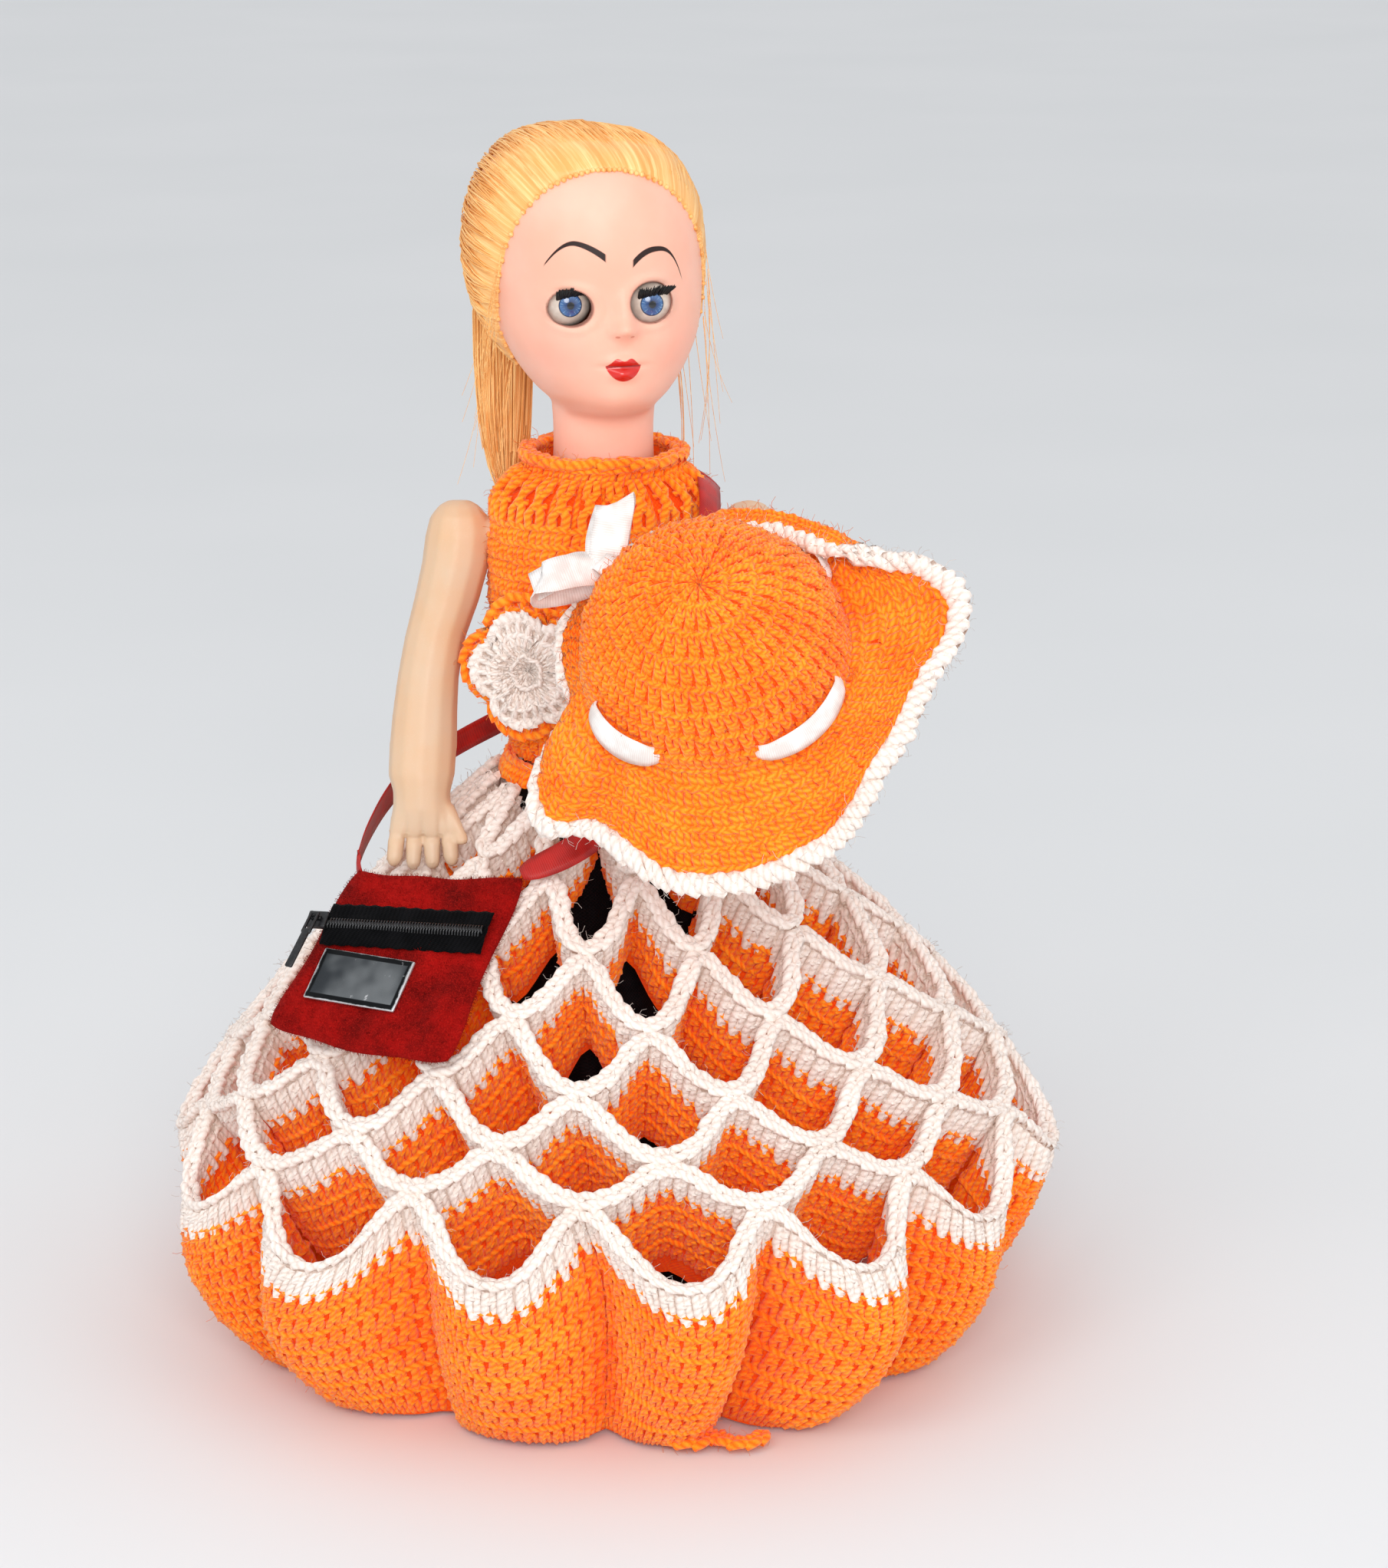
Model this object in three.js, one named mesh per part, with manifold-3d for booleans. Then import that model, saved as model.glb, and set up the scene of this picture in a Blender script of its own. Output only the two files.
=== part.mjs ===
// A dressed doll: a vinyl head with sleeping eyes and rooted hair on a blow-moulded body, in a crocheted
// bodice and a honeycomb skirt of crocheted strips, with a crocheted hat on the raised left hand and a
// zipped shoulder bag.
// Millimetres and degrees, +Z up. The floor is Z = 0, the doll faces -Y and her right side is at -X.

import * as THREE from "three";
import { mergeVertices } from "three/addons/utils/BufferGeometryUtils.js";
import Module from "manifold-3d";

const wasm = await Module();
wasm.setup();

// Clearances
const SEAT = 0.4; // between pieces that lie on each other
const RUN = 0.5; // round a piece that moves

// Trunk
const LEG_PIVOT_Z = 160;
const WAIST_RISE = 43; // waist above the leg pivots
const CHEST_RISE = 75; // arm pivots above the waist
const NECK_RISE = 22; // neck joint above the arm pivots
const HIP_HALF_WIDTH = 35;
const HIP_HALF_DEPTH = 25.5;
const WAIST_HALF_WIDTH = 26;
const WAIST_HALF_DEPTH = 20;
const CHEST_HALF_WIDTH = 33;
const CHEST_HALF_DEPTH = 24.5;
const TRUNK_WALL = 2.4;
const NECK_RADIUS = 16.8;
const NECK_BORE = 13;
const NECK_BULB = 14.2; // bulb on the trunk's stub that keeps the head on
const NECK_BULB_RISE = 27; // above the neck joint, inside the head's hollow

// Limbs
const SHOULDER_RADIUS = 11.4;
const UPPER_ARM = 54; // pivot to elbow
const FOREARM = 33; // elbow to wrist
const PALM = 13;
const FINGER = 10.5;
const HAND_X = 11.6; // middle of the hand, outwards from the pivot
const FINGER_RADIUS = 2.7;
const ELBOW_RADIUS = 10.6;
const WRIST_RADIUS = 9.4;
const ARM_PLUG_RADIUS = 5.5;
const ARM_FLANGE_RADIUS = 7.5;
const ARM_FLANGE = 2;
const ARM_FLANGE_INSET = 5; // how far inside the trunk's wall the flange runs
const RIGHT_ARM_RAISED = 12; // how far each arm is swung forward
const LEFT_ARM_RAISED = 71;
const HIP_X = 16;
const HIP_BALL = 13;
const THIGH_RADIUS = 13.8;
const KNEE_RADIUS = 11;
const ANKLE_RADIUS = 8;
const FOOT_HALF_LENGTH = 17;
const SOLE_Z = 1.5;
const HIP_AXLE_RADIUS = 1.2;
const HIP_AXLE_HALF_LENGTH = 20;

// Head, in its own frame, whose origin is the neck joint
const HEAD_TURNED = 13; // towards the doll's left
const HEAD_LEAN = 0.052; // sideways for each millimetre of rise, towards the right shoulder
const HEAD_HALF_WIDTH = 34.8;
const FACE_DEPTH = 37;
const SKULL_DEPTH = 40;
const CHIN_RISE = 24;
const CROWN_RISE = 110.5;
const HEAD_WALL = 3;
const EYE_RISE = 60;
const EYE_X = 13;
const EYES_ASIDE = -2; // middle of the eyes from the face's middle
const EYE_Y = -26.1;
const EYES_SKEWED = 1.7; // how far the left eye stands forward, and the right one back
const EYE_RADIUS = 8;
const IRIS_RADIUS = 3.9;
const EYE_AXLE_RADIUS = 0.6;
const EYE_WEIGHT_RADIUS = 2.6;
const EYE_WEIGHT_REACH = 13;
const LASH_LENGTH = 1.6;
const EYE_OPENING = [7.6, 16, 7]; // half sizes of the egg that opens the face before each eye
const HAIR_THICKNESS = 2.6;
const HAIRLINE_TOP_RISE = 101;
const HAIRLINE_Y = -27.5;
const HAIRLINE_SLOPE = 26; // lean of the hairline's plane from the vertical
const NAPE_RISE = 36;
const PONYTAIL_RADIUS = 11;
const PONYTAIL_LENGTH = 92;
const PONYTAIL_TURNED = 14; // where it is tied, from the middle of the back towards the right shoulder
const PONYTAIL_SIDE = -9; // how far its end hangs aside from the tie
const TIE_RISE = 78;
const TIE_RADIUS = 7.5;

// Clothes
const BODICE_THICKNESS = 3;
const COLLAR_RISE = 6.5; // collar top above the neck joint
const COLLAR_THICKNESS = 8;
const WAISTBAND_WIDTH = 4; // of its top edge, from the trunk outwards
const WAIST_EASE = 2.4; // room round the waist, over the swell of the hips
const SKIRT_CELLS = 14; // cells round one row
const SKIRT_BANDS = 6;
const SKIRT_TURN = -2; // where the first seam stands, from the front towards the left hand
const SKIRT_RIM_RADIUS = 147;
const SKIRT_RIM_Z = 66;
const SKIRT_TOP_RADIUS = 30;
const SKIRT_BELL = 1.4; // how far the outline swells between waist and rim
const STRIP_THICKNESS = 3.2;
const STRIP_DEPTH_LOW = 56;
const STRIP_DEPTH_HIGH = 6;
const STRIP_DIP_LOW = 54; // how steeply the lowest strip slopes inwards
const STRIP_DIP_HIGH = 20;
const CUP_FLOOR_RADIUS = 113;
const CUP_FLOOR_WAVE = 6;
const CUP_BULGE = 3;
const UNDERSKIRT_HEM_RADIUS = 72;
const UNDERSKIRT_HEM_Z = 3;
const UNDERSKIRT_WALL = 1.2;
const FLOWER_RADIUS = 22;
const FLOWER_SMALL_RADIUS = 18;
const FLOWER_PETALS = 5;
const FLOWER_LAYER = 3.2;
const FLOWER_CENTRE = [-23.5, -26.3, 35]; // from the waist's centre
const FLOWER_TURN = -18;

// Hat, from its apex down, on its own axis
const HAT_APEX = [31.6, -122.7, 10.9]; // from the left arm's pivot, sideways from the doll's middle
const HAT_AXIS = [-0.12, -0.7, 0.705];
const HAT_CROWN_RADIUS = 41;
const HAT_CROWN_HEIGHT = 42;
const HAT_THICKNESS = 3;
// Brim, by the angle round the axis: its edge's reach and lift from the crown's foot, then the reach and lift
// of the point that it swells towards on the way. It stands up at the back and is tucked under at one side.
const BRIM = [
  [0, 33.5, 0, 16, -8], [10, 34.5, 5, 18, -8], [20, 23, 11, 21, 0], [30, 14, 16, 19, 3],
  [57, 9.5, 13, 14, 1], [74, 7, 10, 11, 0], [92, 5, 2, 6, -2], [110, 6, -3, 5, -3],
  [150, 8, -4, 6, -1], [172, 7, -6, 6, -3], [187, 5, -12, 5, -7], [201, 20, -19, 19, -13],
  [216, 29, -20, 18, -13], [228, 20, -18, 11, -12], [260, 27, -20, 13, -13], [295, 26, -15, 13, -11],
  [322, 20, -8, 12, -6], [345, 23.5, -3, 13, -6],
];
const HAT_CORD_RADIUS = 2.3;
const RIBBON_WIDTH = 6;
const RIBBON_THICKNESS = 0.7;

// Bag, hung on the strap's ends and leaning on the skirt
const BAG_TOP = [-53.3, -50.5, 14.6]; // middle of its top edge, from the leg pivots' middle
const BAG_TURNED = -31;
const BAG_LEAN = 48;
const BAG_TOP_WIDTH = 63;
const BAG_BOTTOM_WIDTH = 71;
const BAG_HEIGHT = 68;
const BAG_SLANT = 4.3; // how far the top edge's right end is raised
const BAG_THICKNESS = 7;
const ZIP_DROP = 24;
const ZIP_LENGTH = 60;
const ZIP_TAPE_WIDTH = 15.5;
const ZIP_TAPE_THICKNESS = 0.8;
const ZIP_COIL_WIDTH = 3.4;
const ZIP_COIL_THICKNESS = 1.2;
const SLIDER_LENGTH = 7.5;
const SLIDER_WIDTH = 6;
const SLIDER_THICKNESS = 2.2;
const PULL_LENGTH = 22;
const PULL_WIDTH = 4.5;
const PULL_THICKNESS = 1.2;
const BADGE_WIDTH = 35;
const BADGE_HEIGHT = 19;
const BADGE_THICKNESS = 0.8;
const BADGE_CENTRE = [-7, -45.5];
const BADGE_LEAN = 2;
const STRAP_WIDTH = 8;
const STRAP_THICKNESS = 0.7;

// Places that follow from the values above
const WAIST_Z = LEG_PIVOT_Z + WAIST_RISE;
const ARM_PIVOT_Z = WAIST_Z + CHEST_RISE;
const NECK_Z = ARM_PIVOT_Z + NECK_RISE;
const ARM_X = CHEST_HALF_WIDTH + SEAT + BODICE_THICKNESS + RUN + SHOULDER_RADIUS;
const SKIRT_RISE = WAIST_Z - SKIRT_RIM_Z;

const vec = (x, y, z) => new THREE.Vector3(x, y, z);
const rad = THREE.MathUtils.degToRad;
const mix = THREE.MathUtils.lerp;
const steps = (count) => Array.from({ length: count }, (_, i) => i);

// Every second row, with both ends kept: enough for a surface that is never seen.
const everyOther = (rows) => rows.filter((_, i) => i % 2 === 0 || i === rows.length - 1);
const HOLLOW_SIDES = 12;

// Surfaces and solids

// A surface over points and corner triples, turned to face outwards.
function surface(points, faces) {
  const sixfold = (sum, [a, b, c]) => sum + points[a].dot(vec().crossVectors(points[b], points[c]));
  const inverted = faces.reduce(sixfold, 0) < 0;
  const geometry = new THREE.BufferGeometry().setFromPoints(points);
  geometry.setIndex(faces.flatMap(([a, b, c]) => (inverted ? [a, c, b] : [a, b, c])));
  return geometry;
}

// Two triangles for each side between ring and next, as places in one list of points.
function wall(ring, next, sides) {
  return steps(sides).flatMap((i) => {
    const j = (i + 1) % sides;
    return [[ring + i, ring + j, next + j], [ring + i, next + j, next + i]];
  });
}

// A closed skin over rings of equally many points, with a fan at each end.
function skin(rings) {
  const sides = rings[0].length;
  const points = rings.flat();
  const last = (rings.length - 1) * sides;
  const faces = steps(rings.length - 1).flatMap((r) => wall(r * sides, (r + 1) * sides, sides));
  const middleOf = (ring) => ring.reduce((sum, p) => sum.add(p), vec(0, 0, 0)).divideScalar(sides);
  const first = points.push(middleOf(rings[0])) - 1;
  const end = points.push(middleOf(rings.at(-1))) - 1;
  for (const i of steps(sides)) {
    const j = (i + 1) % sides;
    faces.push([j, i, first], [last + i, last + j, end]);
  }
  return surface(points, faces);
}

// A closed skin over sections that follow each other round a loop.
function hoop(sections) {
  const sides = sections[0].length;
  const count = sections.length;
  const faces = steps(count).flatMap((s) => wall(s * sides, ((s + 1) % count) * sides, sides));
  return surface(sections.flat(), faces);
}

// A level ring round (x, y): wide to both sides, deep to the front and the back.
function oval(x, y, z, wide, front, back, sides) {
  return steps(sides).map((i) => {
    const angle = (2 * Math.PI * i) / sides;
    const deep = Math.sin(angle) < 0 ? front : back;
    return vec(x + wide * Math.cos(angle), y + deep * Math.sin(angle), z);
  });
}

// Rows of numbers on smooth curves through the key rows.
function smooth(keys, count) {
  const curveOf = (_, column) =>
    new THREE.SplineCurve(keys.map((row, i) => new THREE.Vector2(i, row[column])));
  const curves = keys[0].map(curveOf);
  return steps(count).map((k) => curves.map((curve) => curve.getPoint(k / (count - 1)).y));
}

// A round bar between two points.
function rod(from, to, radius, sides = 12, endRadius = radius) {
  const along = vec().subVectors(to, from);
  const turn = new THREE.Quaternion().setFromUnitVectors(vec(0, 0, 1), along.clone().normalize());
  const ringAt = (size, height) =>
    oval(0, 0, height, size, size, size, sides).map((p) => p.applyQuaternion(turn).add(from));
  return skin([ringAt(radius, 0), ringAt(endRadius, along.length())]);
}

// A round-ended finger or lobe between two points.
function lobe(from, to, radius, endRadius, sides) {
  const along = vec().subVectors(to, from);
  const length = along.length();
  const turn = new THREE.Quaternion().setFromUnitVectors(vec(0, 0, 1), along.normalize());
  const shape = [
    [-0.8 * radius, 0.5 * radius],
    [0, radius],
    [length, endRadius],
    [length + 0.8 * endRadius, 0.5 * endRadius],
  ];
  const ringAt = ([height, size]) =>
    oval(0, 0, height, size, size, size, sides).map((p) => p.applyQuaternion(turn).add(from));
  return skin(shape.map(ringAt));
}

function ball(centre, x, y, z, sides) {
  return new THREE.SphereGeometry(1, sides, Math.ceil(sides / 2)).scale(x, y, z).translate(...centre);
}

function box(low, high) {
  const size = high.map((value, i) => value - low[i]);
  return new THREE.BoxGeometry(...size).translate(...low.map((value, i) => value + size[i] / 2));
}

function solid(geometry) {
  const bare = new THREE.BufferGeometry().setAttribute("position", geometry.getAttribute("position"));
  bare.setIndex(geometry.index);
  const merged = mergeVertices(bare, 1e-4);
  const vertProperties = merged.attributes.position.array;
  const triVerts = new Uint32Array(merged.index.array);
  return new wasm.Manifold(new wasm.Mesh({ numProp: 3, vertProperties, triVerts }));
}

function geometryOf(manifold) {
  const { vertProperties, triVerts } = manifold.getMesh();
  const geometry = new THREE.BufferGeometry();
  geometry.setAttribute("position", new THREE.BufferAttribute(vertProperties, 3));
  geometry.setIndex(new THREE.BufferAttribute(triVerts, 1));
  return geometry;
}

const join = (...pieces) => geometryOf(pieces.map(solid).reduce((a, b) => a.add(b)));
const cut = (piece, ...tools) =>
  geometryOf(tools.map(solid).reduce((a, b) => a.subtract(b), solid(piece)));
const common = (a, b) => geometryOf(solid(a).intersect(solid(b)));

const doll = new THREE.Group();

function add(parent, name, geometry, colour, roughness = 0.8, metalness = 0) {
  const material = new THREE.MeshStandardMaterial({ color: colour, roughness, metalness });
  const mesh = new THREE.Mesh(geometry, material);
  mesh.name = name;
  parent.add(mesh);
}

function group(parent, position = [0, 0, 0]) {
  const made = new THREE.Group();
  made.position.set(...position);
  parent.add(made);
  return made;
}

const SKIN_COLOUR = 0xeed0aa;
const FACE_COLOUR = 0xf8c8b4;
const HAIR_COLOUR = 0xe8bf6e;
const ORANGE = 0xff8c14;
const WHITE_YARN = 0xf0ebe6;
const RED_VELVET = 0xa01010;
const BLACK = 0x141416;
const STEEL = 0xb8bcc0;

// Trunk: rows of height, half width and half depth, hips to neck
const TRUNK_SIDES = 16;
const FLANK_HALF_DEPTH = mix(HIP_HALF_DEPTH, WAIST_HALF_DEPTH, 0.5);
const RIB_HALF_DEPTH = mix(WAIST_HALF_DEPTH, CHEST_HALF_DEPTH, 0.6);
const SHOULDER_HALF_DEPTH = mix(CHEST_HALF_DEPTH, NECK_RADIUS, 0.75);
const trunkRows = smooth(
  [
    [LEG_PIVOT_Z - 3, HIP_HALF_WIDTH - 3, HIP_HALF_DEPTH - 3],
    [LEG_PIVOT_Z + 0.3 * WAIST_RISE, HIP_HALF_WIDTH, HIP_HALF_DEPTH],
    [LEG_PIVOT_Z + 0.65 * WAIST_RISE, mix(HIP_HALF_WIDTH, WAIST_HALF_WIDTH, 0.5), FLANK_HALF_DEPTH],
    [WAIST_Z, WAIST_HALF_WIDTH, WAIST_HALF_DEPTH],
    [WAIST_Z + 0.38 * CHEST_RISE, mix(WAIST_HALF_WIDTH, CHEST_HALF_WIDTH, 0.6), RIB_HALF_DEPTH],
    [WAIST_Z + 0.78 * CHEST_RISE, CHEST_HALF_WIDTH, CHEST_HALF_DEPTH],
    [ARM_PIVOT_Z + 0.2 * NECK_RISE, CHEST_HALF_WIDTH, CHEST_HALF_DEPTH - 3.5],
    [ARM_PIVOT_Z + 0.68 * NECK_RISE, mix(CHEST_HALF_WIDTH, NECK_RADIUS, 0.38), SHOULDER_HALF_DEPTH],
    [NECK_Z - RUN, NECK_RADIUS + 1, NECK_RADIUS + 1],
  ],
  15,
);
const trunkRing = ([z, wide, deep], extra, sides = TRUNK_SIDES) =>
  oval(0, 0, z, wide + extra, deep + extra, deep + extra, sides);

function trunk() {
  const floorOfHollow = LEG_PIVOT_Z + HIP_BALL + TRUNK_WALL + RUN;
  const within = trunkRows.filter(([z]) => z > floorOfHollow && z < NECK_Z - 2.5 * TRUNK_WALL);
  const hollow = skin(everyOther(within).map((row) => trunkRing(row, -TRUNK_WALL, HOLLOW_SIDES)));
  const stubTop = NECK_Z + NECK_BULB_RISE;
  const stub = rod(vec(0, 0, NECK_Z - 3 * TRUNK_WALL), vec(0, 0, stubTop), NECK_BORE - RUN, 16);
  const bulb = rod(vec(0, 0, stubTop - 2), vec(0, 0, stubTop + 2), NECK_BULB, 16, NECK_BULB - 3);
  const throat = rod(vec(0, 0, NECK_Z - 4 * TRUNK_WALL), vec(0, 0, stubTop + 3), NECK_BORE - 4, 10);
  const shell = join(skin(trunkRows.map((row) => trunkRing(row, 0))), stub, bulb);
  const reach = CHEST_HALF_WIDTH + TRUNK_WALL;
  const armHole = rod(vec(-reach, 0, ARM_PIVOT_Z), vec(reach, 0, ARM_PIVOT_Z), ARM_PLUG_RADIUS + RUN, 16);
  const hip = HIP_BALL + RUN;
  const hipHole = (side) => ball([side * HIP_X, 0, LEG_PIVOT_Z], hip, hip, hip, 16);
  const axleHole = rod(vec(-HIP_X, 0, LEG_PIVOT_Z), vec(HIP_X, 0, LEG_PIVOT_Z), HIP_AXLE_RADIUS + SEAT, 10);
  return cut(shell, hollow, throat, armHole, hipHole(-1), hipHole(1), axleHole);
}
add(doll, "torso", trunk(), SKIN_COLOUR, 0.45);
const axleStart = vec(-HIP_AXLE_HALF_LENGTH, 0, LEG_PIVOT_Z);
const axleEnd = vec(HIP_AXLE_HALF_LENGTH, 0, LEG_PIVOT_Z);
add(doll, "hip_axle", rod(axleStart, axleEnd, HIP_AXLE_RADIUS, 10), STEEL, 0.3, 1);

// Arm, hanging straight down from its pivot: side is +1 for the left arm
function arm(side) {
  const wristZ = -UPPER_ARM - FOREARM;
  const keys = [
    [SHOULDER_RADIUS - 0.4, 0, 0, 3.5, 3.5],
    [0.74 * SHOULDER_RADIUS, 0, 0, 0.67 * SHOULDER_RADIUS, 0.67 * SHOULDER_RADIUS],
    [0.24 * SHOULDER_RADIUS, 0, 0, SHOULDER_RADIUS - 0.6, SHOULDER_RADIUS - 0.6],
    [-0.13 * UPPER_ARM, 0.6, 0, SHOULDER_RADIUS, SHOULDER_RADIUS - 0.2],
    [-0.41 * UPPER_ARM, 4.2, 0, SHOULDER_RADIUS - 0.4, SHOULDER_RADIUS - 0.8],
    [-0.7 * UPPER_ARM, 8.8, -1, ELBOW_RADIUS - 0.4, ELBOW_RADIUS - 0.7],
    [-UPPER_ARM, 11, -2, ELBOW_RADIUS, ELBOW_RADIUS - 0.2],
    [-UPPER_ARM - 0.42 * FOREARM, 11.8, -4, ELBOW_RADIUS + 0.7, ELBOW_RADIUS + 0.2],
    [-UPPER_ARM - 0.79 * FOREARM, 12.4, -7, WRIST_RADIUS + 1.8, WRIST_RADIUS + 1.4],
    [wristZ, 12.2, -9, WRIST_RADIUS, WRIST_RADIUS - 0.6],
    [wristZ - 0.4 * PALM, 12, -10.3, WRIST_RADIUS + 0.8, 7.4],
    [wristZ - 0.85 * PALM, HAND_X, -12, 4.3 * FINGER_RADIUS, 6],
    [wristZ - PALM, HAND_X, -12.6, 4.2 * FINGER_RADIUS, 4.6],
  ];
  const rows = smooth(keys, 16);
  const limb = skin(rows.map(([z, x, y, wide, deep]) => oval(side * x, y, z, wide, deep, deep, 12)));
  const knuckle = (i) => vec(side * (HAND_X + (i - 1.5) * 2.1 * FINGER_RADIUS), -12.8, wristZ - PALM + 1);
  const fingers = steps(4).map((i) => {
    const tip = knuckle(i).add(vec(side * (i - 1.5) * 0.7, -1.6, -FINGER + Math.abs(i - 1.6)));
    return lobe(knuckle(i), tip, FINGER_RADIUS - 0.1, FINGER_RADIUS - 0.6, 6);
  });
  const thumb = lobe(
    vec(side * (HAND_X - 7.8), -11.5, wristZ - 0.35 * PALM),
    vec(side * (HAND_X - 12.8), -15, wristZ - 1.05 * PALM),
    FINGER_RADIUS + 0.5,
    FINGER_RADIUS - 0.4,
    6,
  );
  const inside = CHEST_HALF_WIDTH - TRUNK_WALL - ARM_FLANGE_INSET;
  const plugEnd = side * (inside - ARM_X - ARM_FLANGE);
  const plug = rod(vec(0, 0, 0), vec(plugEnd, 0, 0), ARM_PLUG_RADIUS, 16);
  const flange = rod(vec(plugEnd, 0, 0), vec(plugEnd + side * ARM_FLANGE, 0, 0), ARM_FLANGE_RADIUS, 16);
  return join(limb, plug, flange, thumb, ...fingers);
}

for (const [side, raised] of [[-1, RIGHT_ARM_RAISED], [1, LEFT_ARM_RAISED]]) {
  const name = side < 0 ? "right_arm" : "left_arm";
  const shoulder = group(doll, [side * ARM_X, 0, ARM_PIVOT_Z]);
  shoulder.rotation.x = -rad(raised);
  add(shoulder, name, arm(side), SKIN_COLOUR, 0.4);
}

// Leg, hanging from the hip ball
function leg(side) {
  const length = LEG_PIVOT_Z - SOLE_Z;
  const keys = [
    [0.97 * HIP_BALL, 0, 0, 3, 3],
    [0.72 * HIP_BALL, 0, 0, 0.69 * HIP_BALL, 0.69 * HIP_BALL],
    [0.3 * HIP_BALL, 0, 0, 0.95 * HIP_BALL, 0.95 * HIP_BALL],
    [-0.15 * HIP_BALL, 0, 0, 0.98 * HIP_BALL, 0.98 * HIP_BALL],
    [-0.46 * HIP_BALL, 0, 0, 0.85 * HIP_BALL, 0.85 * HIP_BALL],
    [-0.15 * length, 0.6, 0, THIGH_RADIUS, THIGH_RADIUS],
    [-0.28 * length, 1, 0, THIGH_RADIUS - 1, THIGH_RADIUS - 0.6],
    [-0.44 * length, 1, 0, KNEE_RADIUS, KNEE_RADIUS],
    [-0.57 * length, 1, 1, KNEE_RADIUS + 0.4, KNEE_RADIUS + 1],
    [-0.88 * length, 1, 0, ANKLE_RADIUS, ANKLE_RADIUS],
    [-0.94 * length, 1, -6, ANKLE_RADIUS + 0.8, FOOT_HALF_LENGTH - 2.5],
    [-length, 1, -9, ANKLE_RADIUS + 0.6, FOOT_HALF_LENGTH],
  ];
  const rows = smooth(keys, 14);
  const limb = skin(rows.map(([z, x, y, wide, deep]) => oval(side * x, y, z, wide, deep, deep, 12)));
  const inner = -side * (HIP_BALL + 1);
  const outer = side * (HIP_AXLE_HALF_LENGTH + SEAT - HIP_X);
  return cut(limb, rod(vec(inner, 0, 0), vec(outer, 0, 0), HIP_AXLE_RADIUS + SEAT, 10));
}

for (const [name, side] of [["right_leg", -1], ["left_leg", 1]]) {
  const hip = group(doll, [side * HIP_X, 0, LEG_PIVOT_Z]);
  add(hip, name, leg(side), SKIN_COLOUR, 0.4);
}

// Head: rows of height, half width, depth of the face and depth of the skull
const head = group(doll, [0, 0, NECK_Z]);
head.rotation.z = rad(HEAD_TURNED);
const HEAD_SIDES = 18;
const FACE_RISE = CROWN_RISE - CHIN_RISE;
const leanAt = (rise) => -HEAD_LEAN * Math.max(0, rise - CHIN_RISE + 4);
const onHead = (x, y, rise) => [x + leanAt(rise), y, rise];
const headRows = smooth(
  [
    [0, NECK_RADIUS, NECK_RADIUS, NECK_RADIUS],
    [0.5 * CHIN_RISE, NECK_RADIUS - 0.3, NECK_RADIUS - 0.3, NECK_RADIUS - 0.3],
    [CHIN_RISE - 4, NECK_RADIUS, NECK_RADIUS + 1.5, NECK_RADIUS],
    [CHIN_RISE, 0.5 * HEAD_HALF_WIDTH, 0.76 * FACE_DEPTH, 0.46 * SKULL_DEPTH],
    [CHIN_RISE + 0.06 * FACE_RISE, 0.64 * HEAD_HALF_WIDTH, 0.9 * FACE_DEPTH, 0.56 * SKULL_DEPTH],
    [CHIN_RISE + 0.15 * FACE_RISE, 0.8 * HEAD_HALF_WIDTH, 0.955 * FACE_DEPTH, 0.7 * SKULL_DEPTH],
    [CHIN_RISE + 0.27 * FACE_RISE, 0.93 * HEAD_HALF_WIDTH, 0.985 * FACE_DEPTH, 0.84 * SKULL_DEPTH],
    [CHIN_RISE + 0.42 * FACE_RISE, 0.99 * HEAD_HALF_WIDTH, 0.97 * FACE_DEPTH, 0.95 * SKULL_DEPTH],
    [CHIN_RISE + 0.6 * FACE_RISE, HEAD_HALF_WIDTH, FACE_DEPTH, SKULL_DEPTH],
    [CHIN_RISE + 0.75 * FACE_RISE, 0.94 * HEAD_HALF_WIDTH, 0.95 * FACE_DEPTH, 0.97 * SKULL_DEPTH],
    [CHIN_RISE + 0.87 * FACE_RISE, 0.79 * HEAD_HALF_WIDTH, 0.82 * FACE_DEPTH, 0.83 * SKULL_DEPTH],
    [CHIN_RISE + 0.95 * FACE_RISE, 0.54 * HEAD_HALF_WIDTH, 0.56 * FACE_DEPTH, 0.57 * SKULL_DEPTH],
    [CROWN_RISE, 0.2 * HEAD_HALF_WIDTH, 0.2 * FACE_DEPTH, 0.2 * SKULL_DEPTH],
  ],
  17,
);
const headRing = ([z, wide, front, back], extra, sides = HEAD_SIDES) =>
  oval(leanAt(z), 0, z, wide + extra, front + extra, back + extra, sides);
const headSkin = (extra) => {
  const rings = headRows.map((row) => headRing(row, extra));
  rings.at(-1).forEach((point) => point.setZ(point.z + extra));
  return skin(rings);
};
const ear = (side, extra) =>
  ball(onHead(side * (HEAD_HALF_WIDTH - 0.6), 3, EYE_RISE - 5), 3 + extra, 4.5 + extra, 8 + extra, 8);
const SOCKET = EYE_RADIUS + RUN;
const SOCKET_REACH = 15;
const eyeCentre = (side) => onHead(side * EYE_X + EYES_ASIDE, EYE_Y - side * EYES_SKEWED, EYE_RISE);

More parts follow.
